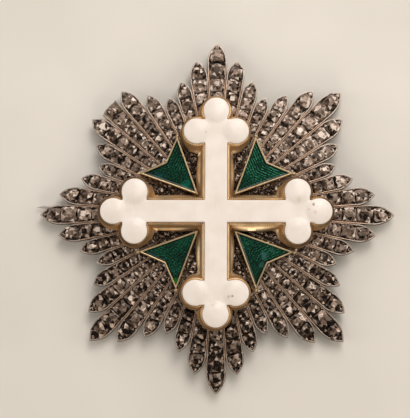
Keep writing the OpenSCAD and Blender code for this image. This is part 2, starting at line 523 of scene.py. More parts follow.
@dataclass(frozen=True)
class TarnishedSilver(Finish):
    """Old sterling silver, sawn and filed by hand.

    Handling keeps the rims bright, and sulphide has turned the recesses brown and black. Between
    the rays, where cloth reaches less, the first thin film of it is yellow. No cloth reaches
    within the unpolished radii, in millimetres, and there the tops are also painted darker, as
    the shade of the cross and the cells.
    """

    polished: str = "#c0b4ab"
    yellowed: str = "#ceb09a"
    dulled: str = "#85735f"
    black: str = "#22160d"
    blotch_mm: float = 1.3
    pit_mm: float = 0.22  # Coarser than real pits, to show
    pit_depth_mm: float = 0.05
    shaded_unpolished_r: tuple[float, float] = (13.5, 18.5)
    star_mm: float = 84.0

    def material(self) -> Material:
        """Makes the material.

        Returns:
            The material.
        """
        material, node, place = self.started("tarnished_silver")
        depth, film = (node("Attribute", attribute_name=name).outputs["Fac"]
                       for name in ("depth", "film"))
        blotches = node("TexNoise", place, Scale=per_mm(self.blotch_mm), Detail=5.0)
        pits = node("TexNoise", place, Scale=per_mm(self.pit_mm), Detail=3.0)
        x, y, _ = node("SeparateXYZ", place).outputs
        centre_r = node("VectorMath", node("CombineXYZ", x, y), operation="LENGTH")
        # No cloth reaches between the cross and the cells, and painted shade from them darkens the
        # tops there too, but the back is free
        near = node("MapRange", centre_r, self.shaded_unpolished_r[0] * MM, self.shaded_unpolished_r[1] * MM,
                    0.75, 0.0)
        facing = node("SeparateXYZ", node("TexCoord").outputs["Normal"]).outputs[2]
        above = node("MapRange", facing, -0.7, -0.2)
        sheltered = node("Math", near, above, operation="MULTIPLY")
        uneven = node("Math", blotches, 0.9, -0.45, operation="MULTIPLY_ADD")
        lower = node("Math", node("Math", depth, uneven), sheltered)
        # Darker towards the bottom of the star
        darkening = node("Math", y, -0.24 / (self.star_mm * MM), 0.02, operation="MULTIPLY_ADD")
        total = node("Math", lower, darkening, use_clamp=True)
        shades = [node("ValToRGB", total,
                       stops=[(0.05, rim), (0.42, self.dulled), (0.8, self.black)])
                  for rim in (self.polished, self.yellowed)]
        return self.finished(
            material, Base_Color=node("Mix", film, *shades, data_type="RGBA"),
            Metallic=node("MapRange", total, 0.1, 0.9, 0.85, 0.35),
            Roughness=node("MapRange", total, 0.0, 1.0, 0.5, 0.65),
            Normal=node("Bump", Height=pits, Strength=0.35, Distance=self.pit_depth_mm * MM))


@dataclass(frozen=True)
class RoseCutStone(Finish):
    """Old rose-cut stones over a darkened foil, ground and polished by hand.

    Each facet sends back another part of the room, so dark, grey and bright facets lie side by
    side. The tones are drawn per facet, because the stones are closed behind. The shaded radii,
    in millimetres, are where the cross and the cells keep the light out.
    """

    black: str = "#0d0806"
    brown: str = "#46382e"
    grey: str = "#6d5d52"
    taupe: str = "#8f7d71"
    rose: str = "#bba79a"
    white: str = "#ecdfd5"
    film: str = "#e6d1c2"
    glint_mm: float = 0.6
    star_mm: float = 84.0
    shaded_r: tuple[float, float] = (12.0, 21.0)
    refraction: float = 1.64
    polish: float = 0.09

    def material(self) -> Material:
        """Makes the material.

        Returns:
            The material.
        """
        material, node, place = self.started("rose_cut_stone")
        tone, stone, crown = (node("Attribute", attribute_name=name).outputs["Fac"]
                              for name in ("tone", "stone_tone", "crown"))
        glints = node("TexVoronoi", place, Scale=per_mm(self.glint_mm)).outputs["Color"]
        inside = node("Math", node("SeparateColor", glints), 0.4, -0.2, operation="MULTIPLY_ADD")
        # Light that enters an edge facet leaves sideways, so stones are dark round their edge
        facet = node("Math", crown, 0.5, inside, operation="MULTIPLY_ADD")
        whole = node("Math", stone, 0.2, -0.38, operation="MULTIPLY_ADD")
        mixed = node("Math", tone, 0.8, facet, operation="MULTIPLY_ADD")
        # One facet in ten faces the window and flashes
        flashing = node("MapRange", tone, 0.86, 0.92, 0.0, 0.21)
        total = node("Math", node("Math", mixed, flashing), whole)
        # The stones are darker towards the bottom, shifted further by x and by x times y
        x, y, _ = node("SeparateXYZ", place).outputs
        star = self.star_mm * MM
        brightness_by_y = node("Math", y, 0.38 / star, -0.21, operation="MULTIPLY_ADD")
        across = node("Math", y, 0.7 / star, 0.14, operation="MULTIPLY_ADD")
        share = node("Math", x, 1.0 / star, operation="MULTIPLY")
        brightness_by_plan = node("Math", share, across, brightness_by_y, operation="MULTIPLY_ADD")
        centre_r = node("VectorMath", node("CombineXYZ", x, y), operation="LENGTH")
        sheltered = node("MapRange", centre_r, self.shaded_r[0] * MM, self.shaded_r[1] * MM,
                         -0.22, 0.0)
        # Between the cross and the cells most facets are black and a few flash
        varied = node("Math", inside, -10.0, operation="MULTIPLY")
        sparkle = node("Math", varied, sheltered, sheltered, operation="MULTIPLY_ADD")
        seen = node("Math", total, node("Math", brightness_by_plan, sparkle), use_clamp=True)
        colour = node("ValToRGB", seen, stops=[
            (0.12, self.black), (0.27, self.brown), (0.44, self.grey), (0.63, self.taupe),
            (0.8, self.rose), (0.93, self.white)])
        return self.finished(material, Base_Color=colour, Roughness=self.polish,
                             IOR=self.refraction, Specular_Tint=linear(self.film))


@dataclass(frozen=True)
class OldGold(Finish):
    """Yellow gold of about 18 carat, cast, chased and satin from wear.

    Its edges shine, its walls are softly matt, and grime and painted shade darken the deepest
    corners to brown.
    """

    name: str = "old_gold"
    bright: str = "#e8d6b4"
    satin: str = "#dcb07c"
    dull: str = "#8c6f4c"
    grime_and_shade: str = "#4e3018"
    cloud_mm: float = 2.4
    grain_mm: float = 0.18  # Coarser than a real grain, to show
    grain_depth_mm: float = 0.04

    def material(self) -> Material:
        """Makes the material.

        Returns:
            The material.
        """
        material, node, place = self.started(self.name)
        depth = node("Attribute", attribute_name="depth").outputs["Fac"]
        clouds = node("TexNoise", place, Scale=per_mm(self.cloud_mm), Detail=4.0)
        grain = node("TexNoise", place, Scale=per_mm(self.grain_mm), Detail=2.0)
        uneven = node("Math", clouds, 0.6, -0.3, operation="MULTIPLY_ADD")
        # The depth mark darkens deep corners with grime and with painted shade, darkest at the foot
        total = node("Math", depth, uneven, use_clamp=True)
        colour = node("ValToRGB", total, stops=[(0.02, self.bright), (0.3, self.satin),
                                                (0.6, self.dull), (0.95, self.grime_and_shade)])
        return self.finished(
            material, Base_Color=colour, Roughness=node("MapRange", total, 0.0, 1.0, 0.4, 0.65),
            Metallic=node("MapRange", total, 0.1, 0.6, 0.9, 0.45),
            Normal=node("Bump", Height=grain, Strength=0.3, Distance=self.grain_depth_mm * MM))


@dataclass(frozen=True)
class WhiteEnamel(Finish):
    """Opaque white enamel, fired and stoned flat, then fire-polished.

    It is warm and glassy, with faint clouds, a few stains and chips, and hair scratches from
    wear, which are scratch_length times as long as they are wide. Its rounded edge and its foot
    in the gold are painted darker and warmer, as shade and as the gold's reflection.
    """

    body: str = "#fbf4ef"
    cloud: str = "#f1e8e0"
    # Painted shade and the gold's warm reflection on the rounded edge
    darkening: str = "#dcc49c"
    scratched: str = "#cfc2b4"
    cloud_mm: float = 5.0
    ripple_mm: float = 2.6
    ripple_depth_mm: float = 0.05
    scratch_mm: float = 0.22  # Wider than real ones, to show
    scratch_length: float = 26.0
    mark_edge_mm: float = 0.3
    marks: tuple[EnamelMark, ...] = (
        EnamelMark(22.49, 1.48, 0.3, "#8e4d45", 0.75),
        EnamelMark(22.85, -0.3, 0.4, "#d8a79b", 0.3),
        EnamelMark(3.05, -19.85, 0.35, "#a3958c", 0.4),
        EnamelMark(3.85, -19.75, 0.2, "#6f6862", 0.75),
        EnamelMark(-0.6, -21.85, 0.4, "#cbb08c", 0.2),
        EnamelMark(-0.1, -21.3, 0.5, "#cbb08c", 0.14),
        EnamelMark(-0.9, -21.2, 0.7, "#cbb08c", 0.12),
        EnamelMark(21.4, 0.4, 0.16, "#c98d80", 0.5),
        EnamelMark(23.3, 1.0, 0.14, "#c98d80", 0.4),
        EnamelMark(-2.39, 18.56, 0.16, "#8d857c", 0.7),
        EnamelMark(19.17, 2.66, 0.6, "#d3cbb6", 0.4))

    def material(self) -> Material:
        """Makes the material.

        Returns:
            The material.
        """
        material, node, place = self.started("white_enamel")
        edge = node("Attribute", attribute_name="depth").outputs["Fac"]
        clouds = node("TexNoise", place, Scale=per_mm(self.cloud_mm), Detail=4.0)
        tint = node("ValToRGB", clouds, stops=[(0.3, self.cloud), (0.62, self.body)])
        along = node("Mapping", place, Scale=(1.0, 1 / self.scratch_length, 1.0))
        hairs = node("TexNoise", along, Scale=per_mm(self.scratch_mm), Detail=1.0)
        scratched = node("MapRange", hairs, 0.64, 0.74, 0.0, 0.16)
        worn = node("Mix", scratched, tint, linear(self.scratched), data_type="RGBA")
        stained = self.marked(node, place, worn, self.marks, self.mark_edge_mm)
        ripple = node("TexNoise", place, Scale=per_mm(self.ripple_mm), Detail=1.0)
        return self.finished(
            material, Roughness=0.34, IOR=1.5,
            Base_Color=node("Mix", edge, stained, linear(self.darkening), data_type="RGBA"),
            Normal=node("Bump", Height=ripple, Strength=0.2, Distance=self.ripple_depth_mm * MM))


@dataclass(frozen=True)
class GreenEnamel(Finish):
    """Clear emerald enamel over gold that was engraved in chevrons.

    The cuts show through as lighter and darker green lines under a glassy, flat surface. They
    are crisp near the notch, from fades_mm on, and the window catches those of the arm nearest
    to it, over window_mm.
    """

    dark: str = "#01150d"
    middle: str = "#054631"
    light: str = "#3f9272"
    line_mm: float = 0.6  # As coarse as it needs to show
    cut_depth_mm: float = 0.03
    streak_mm: float = 0.9
    patch_mm: float = 1.5
    mottle_mm: float = 0.38
    cloud_mm: float = 4.0
    fades_mm: tuple[float, float] = (1.5, 6.5)
    window_mm: tuple[float, float] = (-5.0, 12.0)
    mark_edge_mm: float = 1.2
    marks: tuple[EnamelMark, ...] = (
        # The first three are a painted reflection of a light near the notch of the lower right arm
        EnamelMark(11.1, -10.1, 0.5, "#5a8d92", 0.45),
        EnamelMark(13.0, -9.0, 0.3, "#4d8580", 0.35),
        EnamelMark(10.5, -12.3, 0.3, "#4d8580", 0.35),
        EnamelMark(-9.2, -16.6, 1.1, "#2f8f2c", 0.5),
        EnamelMark(-15.0, -10.3, 0.6, "#12404f", 0.5),
        EnamelMark(-7.2, 6.3, 0.9, "#0d7f6b", 0.45),
        EnamelMark(-13.3, 8.6, 0.7, "#13505c", 0.5))

    def material(self) -> Material:
        """Makes the material.

        Returns:
            The material.
        """
        material, node, place = self.started("green_enamel")
        row, rim = (node("Attribute", attribute_name=name).outputs["Fac"]
                    for name in ("row", "depth"))
        streaks, patches, mottle, clouds = (
            node("TexNoise", place, Scale=per_mm(size), Detail=detail)
            for size, detail in ((self.streak_mm, 2.0), (self.patch_mm, 3.0),
                                 (self.mottle_mm, 2.0), (self.cloud_mm, 2.0)))
        shifted = node("Math", streaks, 0.35, row, operation="MULTIPLY_ADD")
        turns = node("Math", shifted, 2 * math.pi / self.line_mm, operation="MULTIPLY")
        wave = node("MapRange", node("Math", turns, operation="SINE"), -0.2, 1.0, -0.5, 1.0)
        clear = node("MapRange", row, *self.fades_mm, 0.04, 0.36)
        patchy = node("MapRange", patches, 0.36, 0.58, 0.15, 1.0)
        x, y, _ = node("SeparateXYZ", place).outputs
        caught = node("MapRange", node("Math", x, y), self.window_mm[0] * MM,
                      self.window_mm[1] * MM, 0.35, 1.25)
        seen = node("Math", patchy, caught, operation="MULTIPLY")
        amount = node("Math", clear, seen, operation="MULTIPLY")
        tone = node("Math", wave, amount, -0.02, operation="MULTIPLY_ADD")
        # The arm nearest the window is also painted a little lighter overall, as painted light
        for layer, share in ((mottle, 1.5), (clouds, 0.55), (caught, 0.1)):
            tone = node("Math", layer, share, tone, operation="MULTIPLY_ADD")
        lowered = node("Math", tone, -0.83)
        shaded = node("Math", rim, -0.3, lowered, operation="MULTIPLY_ADD", use_clamp=True)
        green = node("ValToRGB", shaded,
                     stops=[(0.05, self.dark), (0.42, self.middle), (0.85, self.light)])
        return self.finished(
            material, Roughness=0.35, Specular_IOR_Level=0.0, Coat_Weight=1.0,
            Coat_Roughness=0.06, IOR=1.5,
            Base_Color=self.marked(node, place, green, self.marks, self.mark_edge_mm),
            Normal=node("Bump", Height=wave, Strength=0.4, Distance=self.cut_depth_mm * MM))


@dataclass(frozen=True)
class DrawnSteel(Finish):
    """Hard steel wire, drawn through a plate and pointed with a file.

    Fine lines run along it, line_length times as long as they are wide, and it has gone a little
    brown.
    """

    bare: str = "#e4dcd6"
    brown: str = "#a89888"
    line_mm: float = 0.15  # Coarser than real lines, to show
    line_length: float = 30.0
    line_depth_mm: float = 0.02
    stain_mm: float = 2.5

    def material(self) -> Material:
        """Makes the material.

        Returns:
            The material.
        """
        material, node, place = self.started("drawn_steel")
        along = node("Mapping", place, Scale=(1 / self.line_length, 1.0, 1.0))
        lines = node("TexNoise", along, Scale=per_mm(self.line_mm), Detail=2.0)
        stains = node("TexNoise", place, Scale=per_mm(self.stain_mm), Detail=4.0)
        return self.finished(
            material, Metallic=0.95, Roughness=0.36,
            Base_Color=node("ValToRGB", stains, stops=[(0.34, self.brown), (0.5, self.bare)]),
            Normal=node("Bump", Height=lines, Strength=0.4, Distance=self.line_depth_mm * MM))


@dataclass(frozen=True)
class PalePaper(Finish):
    """Plain matt paper for the floor, with the faintest unevenness."""

    light: str = "#e9e6e1"
    dim: str = "#e2dfd9"
    cloud_mm: float = 40.0

    def material(self) -> Material:
        """Makes the material.

        Returns:
            The material.
        """
        material, node, place = self.started("pale_paper")
        clouds = node("TexNoise", place, Scale=per_mm(self.cloud_mm))
        colour = node("ValToRGB", clouds, stops=[(0.35, self.dim), (0.65, self.light)])
        return self.finished(material, Base_Color=colour, Roughness=0.85)


# Geometry Nodes trees for what repeats

def ray_ring_tree() -> NodeTree:
    """Builds the tree that lays the rays of one length round the star.

    Returns:
        The tree. Its rule is that a ray's length depends on its place in the pattern, counted
        from the nearer end.
    """
    tree, node, given = geometry_tree(
        "ray_ring", Ray="Object", Count="Int", Pattern="Int", Place="Int", Skip="Int",
        Step="Float", Tremor="Float", Tremor_Size="Float", Finish="Material")
    line = node("GeometryNodeMeshLine", Count=given["Count"], Offset=(0, 0, 0))
    index = node("GeometryNodeInputIndex")
    ahead = node("Math", index, given["Pattern"], operation="MODULO")
    behind = node("Math", given["Pattern"], ahead, operation="SUBTRACT")
    place = node("Math", ahead, behind, operation="MINIMUM")
    here = node("FunctionNodeCompare", place, given["Place"], data_type="INT",
                operation="EQUAL")
    whole = node("FunctionNodeCompare", index, given["Skip"], data_type="INT",
                 operation="NOT_EQUAL")
    turn = node("CombineXYZ", Z=node("Math", index, given["Step"], operation="MULTIPLY"))
    ray = node("GeometryNodeObjectInfo", given["Ray"]).outputs["Geometry"]
    rays = node("GeometryNodeInstanceOnPoints", line, Instance=ray, Rotation=turn,
                Selection=node("FunctionNodeBooleanMath", here, whole, operation="AND"))
    noise = node("TexNoise", Scale=given["Tremor Size"], Detail=1.0).outputs["Color"]
    centred = node("VectorMath", noise, (0.5, 0.5, 0.5), operation="SUBTRACT")
    moved = node("GeometryNodeSetPosition", node("GeometryNodeRealizeInstances", rays),
                 Offset=node("VectorMath", centred, given["Tremor"], operation="SCALE"))
    node("NodeGroupOutput", node("GeometryNodeSetMaterial", moved, Material=given["Finish"]))
    return tree


def set_pieces_tree() -> NodeTree:
    """Builds the tree that sets a copy of one small piece on each mark.

    Returns:
        The tree. It reads each mark's size and turn, adds a little spin and lean, and draws a
        tone for each piece and each of its faces.
    """
    tree, node, given = geometry_tree(
        "set_pieces", Marks="Geometry", Piece="Object", Spin="Float", Lean="Float", Seed="Int",
        Finish="Material")
    size, turn = (node("GeometryNodeInputNamedAttribute", name, data_type="FLOAT_VECTOR")
                  for name in ("size", "turn"))
    most = node("CombineXYZ", given["Lean"], given["Lean"], given["Spin"])
    least = node("VectorMath", most, -1.0, operation="SCALE")
    drawn = node("FunctionNodeRandomValue", least, most, Seed=given["Seed"],
                 data_type="FLOAT_VECTOR")
    seat, own = (node("FunctionNodeEulerToRotation", angles) for angles in (turn, drawn))
    facing = node("FunctionNodeRotateRotation", seat, own, rotation_space="LOCAL")
    piece = node("GeometryNodeObjectInfo", given["Piece"]).outputs["Geometry"]
    made = node("GeometryNodeInstanceOnPoints", given["Marks"], Instance=piece, Rotation=facing,
                Scale=size)
    for further, (name, domain) in enumerate((("stone_tone", "INSTANCE"), ("tone", "FACE")), 1):
        seed = node("Math", given["Seed"], float(further))
        tone = node("FunctionNodeRandomValue", Seed=seed, data_type="FLOAT")
        made = node("GeometryNodeStoreNamedAttribute", made, Name=name, Value=tone,
                    data_type="FLOAT", domain=domain)
        if domain == "INSTANCE":
            made = node("GeometryNodeRealizeInstances", made)
    node("NodeGroupOutput", node("GeometryNodeSetMaterial", made, Material=given["Finish"]))
    return tree


def beaded_edge_tree() -> NodeTree:
    """Builds the tree that rolls a row of equal beads along edges.

    Returns:
        The tree, whose inputs are the edges, the bead, its radius and the pitch of the row.
    """
    tree, node, given = geometry_tree("beaded_edge", Edges="Geometry", Bead="Object",
                                      Radius="Float", Pitch="Float", Finish="Material")
    even = node("GeometryNodeResampleCurve", node("GeometryNodeMeshToCurve", given["Edges"]),
                Length=given["Pitch"], mode="LENGTH")
    bead = node("GeometryNodeObjectInfo", given["Bead"]).outputs["Geometry"]
    beads = node("GeometryNodeInstanceOnPoints", even, Instance=bead, Scale=given["Radius"])
    node("NodeGroupOutput", node("GeometryNodeSetMaterial",
                                 node("GeometryNodeRealizeInstances", beads),
                                 Material=given["Finish"]))
    return tree


@dataclass
class Marks:
    """Places where small pieces are set, each with a scale along its own axes and a rotation."""

    places: list[Place] = field(default_factory=list)
    sizes: list[Place] = field(default_factory=list)
    turns: list[Place] = field(default_factory=list)

    def put(self, place: Place, size: Place, turn: Place = (0.0, 0.0, 0.0)) -> None:
        """Adds one mark.

        Args:
            place: Where it lies.
            size: Its scale along its own axes.
            turn: Its rotation about X, Y and Z, in radians.
        """
        self.places.append(place)
        self.sizes.append(size)
        self.turns.append(turn)

    def host(self) -> Object:
        """Makes what the small pieces are set on.

        Returns:
            An object whose points carry the marks, in metres.
        """
        mesh = bpy.data.meshes.new("marks")
        mesh.from_pydata(np.array(self.places) * MM, [], [])
        for name, rows in (("size", self.sizes), ("turn", self.turns)):
            mesh.attributes.new(name, "FLOAT_VECTOR", "POINT").data.foreach_set(
                "vector", np.array(rows, dtype=np.float32).ravel())
        return placed("marks", mesh)


# The silver star

@dataclass(frozen=True)
class Dome:
    """The star's top, which falls away from its middle as a shallow bowl turned over.

    Its middle is flat and lies at level. The longest tips, at reach, lie lower by drop.
    """

    reach: float
    level: float
    drop: float = 3.2
    flat_r: float = 6.0

    def top(self, r: np.ndarray | float) -> np.ndarray | float:
        """Returns the height of the rims at distance r."""
        outer = np.maximum(r, self.flat_r)
        return self.level - self.drop * (outer ** 2 - self.flat_r ** 2) / self.reach ** 2

    def over(self, plan: np.ndarray) -> np.ndarray:
        """Returns the height of the rims at each place of a plan."""
        return self.top(np.hypot(*plan.T))

    def tilt(self, r: float) -> float:
        """Returns how far the surface leans outwards at distance r, in radians."""
        return math.atan(2 * self.drop * max(r, self.flat_r) / self.reach ** 2)


class RayLength(Enum):
    """The four lengths of ray: reach as a share of the longest, and length of the point."""

    LONG = (1.000, 5.2)
    THIRD = (0.900, 4.5)
    HALF = (0.795, 4.0)
    SHORT = (0.726, 3.6)


class Fan(Enum):
    """The two sets of fans that the rays form."""

    UPRIGHT = "upright"
    DIAGONAL = "diagonal"


@dataclass(frozen=True)
class RayPlan:
    """Plan of a ray along +X: a narrow wedge whose sides curve in to a point.

    The rims keep only the narrow shares of their width, up to narrow_to and where they leave
    their neighbours, which is shared behind the shoulder. From full_at behind it on, they have
    their full width.
    """

    reach: float
    point: float
    half_step: float
    rim: float = 0.32
    start: float = 7.4
    narrow: tuple[float, float] = (0.4, 0.78)
    narrow_to: float = 9.0
    shared: float = 3.4
    full_at: float = 0.2
    stone_gap: float = 0.12
    tip_stone: float = 0.45
    straight_steps: int = 16
    arc_steps: int = 9

    @property
    def shoulder(self) -> float:
        """Where the curved end starts."""
        return self.reach - self.point

    @property
    def widest(self) -> float:
        """Half the ray's width at its shoulder."""
        return self.shoulder * math.tan(self.half_step)

    @property
    def arc_r(self) -> float:
        """Radius of the arcs that meet at the tip."""
        return (self.widest ** 2 + self.point ** 2) / (2 * self.widest)

    def taper(self, r: np.ndarray | float) -> np.ndarray | float:
        """Returns the rims' width at distance r as a share of their full width."""
        places = (self.narrow_to, self.shoulder - self.shared, self.shoulder - self.full_at)
        return np.interp(r, places, (*self.narrow, 1.0))

    def side(self, inset: float, end_inset: float = 0.0) -> np.ndarray:
        """Draws the left side in from the ray's edge.

        Args:
            inset: How far in it lies.
            end_inset: How far out from the ray's start it begins.

        Returns:
            Its plan, from the inner end to the tip.
        """
        x = np.linspace(self.start + end_inset, self.shoulder, self.straight_steps + 1)[:-1]
        straight = np.column_stack([x, x * math.tan(self.half_step) - inset * self.taper(x)])
        r = self.arc_r - inset
        fall = self.arc_r - self.widest
        t = np.linspace(math.pi / 2, math.asin(fall / r), self.arc_steps + 1)
        return np.vstack([straight, circle(r, t) + (self.shoulder, -fall)])

    def room(self, r: float) -> float:
        """Measures the room between the rims.

        Args:
            r: Where a stone's middle lies.

        Returns:
            The radius of the largest stone that fits there.
        """
        straight = r * math.sin(self.half_step) - self.rim
        rise = math.hypot(max(r - self.shoulder, 0), self.arc_r - self.widest)
        return min(straight, self.arc_r - self.rim - rise) - self.stone_gap / 2

    def stones(self, smallest: float, first: float | None = None) -> list[tuple[float, float]]:
        """Places the stones inwards, each just clear of the last.

        Args:
            smallest: Radius below which no more stones follow.
            first: Middle of the first stone, or None to start at the tip.

        Returns:
            Each stone's distance from the centre and its radius.
        """
        r = first or self.reach
        search_step = 0.02
        while self.room(r) < self.tip_stone:
            r -= search_step
        row = []
        while self.room(r) >= smallest:
            row.append((r, self.room(r)))
            following = r - 1
            for _ in range(8):
                following = r - self.room(r) - self.room(following) - self.stone_gap
            r = following
        return row


@dataclass
class SilverStar:
    """The silver star: forty-eight rays on a back plate, with the pin's hinge and catch.

    The lengths of its rays repeat after pattern rays. Ray number broken, counted from +X, has
    lost its tip: it ends at broken_reach in a torn edge, askew by broken_skew degrees, with
    notches as deep as tear, and its channel is bare from bare_from on. Its end_stone has a
    place and a radius, and the next stone lies at after_end. The plate lies between plate_top
    and plate_t below the rims. The maker's hand strays by tremor over tremor_mm.
    """

    dome: Dome
    silver: Material
    count: int = 48
    pattern: int = 6
    broken: int = 18
    broken_reach: float = 36.8
    broken_skew: float = 4.0
    end_stone: tuple[float, float] = (35.25, 1.2)
    after_end: float = 32.2
    bare_from: float = 34.2
    tear: float = 0.45
    plate_t: float = 1.2
    plate_top: float = 0.78
    tremor: float = 0.1
    tremor_mm: float = 1.4

    @property
    def step(self) -> float:
        """The angle from one ray to the next, in radians."""
        return 2 * math.pi / self.count

    def plan(self, length: RayLength) -> RayPlan:
        """Returns the plan of a ray of one length."""
        share, point = length.value
        return RayPlan(share * self.dome.reach, point, self.step / 2)

    def plan_of(self, ray: int) -> RayPlan:
        """Returns the plan of ray number ray."""
        ahead = ray % self.pattern
        return self.plan(list(RayLength)[min(ahead, self.pattern - ahead)])

    def fan_of(self, ray: int) -> Fan:
        """Returns the fan that ray number ray belongs to."""
        ahead = ray % (2 * self.pattern)
        return Fan.UPRIGHT if min(ahead, 2 * self.pattern - ahead) < 3 else Fan.DIAGONAL

    def ray(self, plan: RayPlan, bare_from: float = math.inf) -> Shell:
        """Makes one ray along +X: a rim, a channel and a flat underside.

        Args:
            plan: The ray's plan.
            bare_from: Where its channel shows bare silver.

        Returns:
            The ray, closed all round.
        """
        inner = plan.rim + 0.09
        # How far in from the edge each line of the rim lies, how far above the dome, and how
        # sheltered it is from polishing
        lines = ((0.02, -0.8, 1.0), (0.035, -0.4, 0.95), (0.055, -0.2, 0.7), (0.075, -0.08, 0.4),
                 (0.11, 0.0, 0.1), (0.17, 0.03, 0.0), (0.31, 0.02, 0.0),
                 (inner - 0.04, -0.02, 0.06), (inner, -0.1, 0.4), (inner + 0.01, -0.44, 0.9))
        shell = Shell(marks={"depth": [], "film": []})
        plans = [mirrored(plan.side(inset, inset)) for inset, _, _ in lines]
        rings = [lifted(p, self.dome.over(p) + line[1]) for p, line in zip(plans, lines)]
        depth = [np.where(p[:, 0] > bare_from, min(line[2], 0.3), line[2])
                 for p, line in zip(plans, lines)]
        film = [np.interp(p[:, 0], (plan.shoulder - plan.shared, plan.shoulder), (1, 0))
                for p in plans]
        shell.skin(rings, shell.ladder, shell.ladder, depth=depth, film=film)
        return shell

    def break_tip(self, ray: Object) -> None:
        """Cuts the tip off and closes the cut with a torn face.

        Args:
            ray: A ray along +X.
        """
        mesh = bmesh.new()
        mesh.from_mesh(ray.data)
        skew = math.radians(self.broken_skew)
        out = Vector((math.cos(skew), math.sin(skew), 0.0))
        cut = bmesh.ops.bisect_plane(
            mesh, geom=[*mesh.verts, *mesh.edges, *mesh.faces],
            plane_co=(self.broken_reach * MM, 0, 0), plane_no=out, clear_outer=True)
        edges = [e for e in cut["geom_cut"] if isinstance(e, bmesh.types.BMEdge)]
        long_edge, cuts = 0.5, 14
        long_edges = [e for e in edges if e.calc_length() > long_edge * MM]
        bmesh.ops.subdivide_edges(mesh, edges=long_edges, cuts=cuts)
        edges = [e for e in mesh.edges if e.is_boundary]
        for vert in {v for e in edges for v in e.verts}:
            y = vert.co.y / MM
            # Two waves make the tear uneven
            notch = 0.5 + 0.3 * math.sin(3.1 * y + 0.8) + 0.2 * math.sin(9.7 * y)
            vert.co -= out * (self.tear * notch * MM)
        bmesh.ops.edgeloop_fill(mesh, edges=edges)
        mesh.to_mesh(ray.data)
        mesh.free()

    def rays(self) -> Object:
        """Makes all the rays.

        Returns:
            The rays as one piece.
        """
        tree = ray_ring_tree()
        made = []
        for place, length in enumerate(RayLength):
            ray = self.ray(self.plan(length)).made("ray")
            made.append(grown(
                Shell().made("ray_host"), tree, "rays_" + length.name.lower(), Ray=ray,
                Place=place, Count=self.count, Pattern=self.pattern, Step=self.step,
                Skip=self.broken, Tremor=self.tremor * MM, Tremor_Size=per_mm(self.tremor_mm),
                Finish=self.silver))
            bpy.data.objects.remove(ray)
        broken = self.ray(self.plan_of(self.broken), self.bare_from)
        broken = broken.made("broken_ray", self.silver)
        self.break_tip(broken)
        broken.data.transform(Matrix.Rotation(self.broken * self.step, 4, "Z"))
        return joined([*made, broken], "silver_rays")

    def plate(self) -> Object:
        """Makes the back plate that the rays are soldered to.

        Returns:
            The plate.
        """
        ease, bevel, low_share, dulled = 0.14, 0.08, 0.997, 0.45
        pitch, margin = 1.6, 0.8
        ends = []
        for ray in range(self.count):
            plan = self.plan_of(ray)
            end = mirrored(plan.side(ease)[-plan.arc_steps - 1:])
            if ray == self.broken:
                end[:, 0] = np.minimum(end[:, 0], self.broken_reach - ease - self.tear)
            ends.append(rotated(end, ray * self.step))
        edge = np.vstack(ends)
        levels = ((edge * low_share, self.plate_t), (edge, self.plate_t - bevel),
                  (edge, self.plate_top))
        shell = Shell()
        shell.skin([lifted(plan, self.dome.over(plan) - down) for plan, down in levels],
                   depth=dulled)
        inner = self.inside(hex_grid(self.dome.reach, pitch), margin)
        for (plan, down), up in ((levels[0], False), (levels[2], True)):
            shell.patch(plan, inner, lambda p, d=down: self.dome.over(p) - d, up, dulled)
        return shell.made("silver_back_plate", self.silver, weld=0.002)

    def inside(self, plan: np.ndarray, margin: float) -> np.ndarray:
        """Picks the points of a plan that lie inside the star's outline.

        Args:
            plan: The plan.
            margin: How far inside they have to lie.

        Returns:
            The plan of those points.
        """
        kept = []
        for x, y in plan:
            angle = math.atan2(y, x) % (2 * math.pi)
            ray = round(angle / self.step)
            shape = self.plan_of(ray)
            along, across = np.abs(rotated(np.array([x, y]), -ray * self.step))
            if ray == self.broken and along > self.broken_reach - margin - self.tear:
                continue
            rise = math.hypot(max(along - shape.shoulder, 0),
                              across + shape.arc_r - shape.widest)
            if along < shape.shoulder - margin or rise < shape.arc_r - margin:
                kept.append((x, y))
        return np.array(kept)


# Stones and the grains that hold them

@dataclass(frozen=True)
class StoneCut:
    """A rose-cut stone: a girdle, two rows of triangles and a small table.

    Each ring of corners, from the base to the table, has a radius and a height, as shares of
    the stone's, and a turn in halves of a side. The squareness is in radians, and the crown's
    height is a share of the diameter.
    """

    sides: int = 8
    rings: tuple[Place, ...] = ((1.05, 0.0, 0.0), (1.22, 0.38, 0.0), (0.84, 0.74, 1.0),
                                (0.45, 1.0, 0.0))
    squareness: float = 0.22
    girdle_h: float = 0.25
    crown_share: float = 0.28

    def height(self, radius: float) -> float:
        """Returns the height of a stone of one radius."""
        return self.girdle_h + 2 * radius * self.crown_share

    def shell(self) -> Shell:
        """Makes a stone.

        Returns:
            The stone, with a radius and a height of one.
        """
        shell = Shell(marks={"depth": [], "crown": []})
        rows = []
        for radius, height, turn in self.rings:
            angles = (np.arange(self.sides) + 0.5 * (1 + turn)) * 2 * math.pi / self.sides
            angles = angles + self.squareness * np.sin(4 * angles)
            rows.append(shell.ring(lifted(circle(radius, angles), height), crown=height ** 0.5))
        base, girdle, middle, table = rows
        shell.cap(base, up=False)
        shell.bridge(base, girdle)
        for k in range(self.sides):
            after = (k + 1) % self.sides
            shell.faces += [(girdle[k], girdle[after], middle[k]),
                            (girdle[after], middle[after], middle[k]),
                            (middle[k], middle[after], table[after]),
                            (middle[k], table[after], table[k])]
        shell.cap(table, up=True)
        return shell


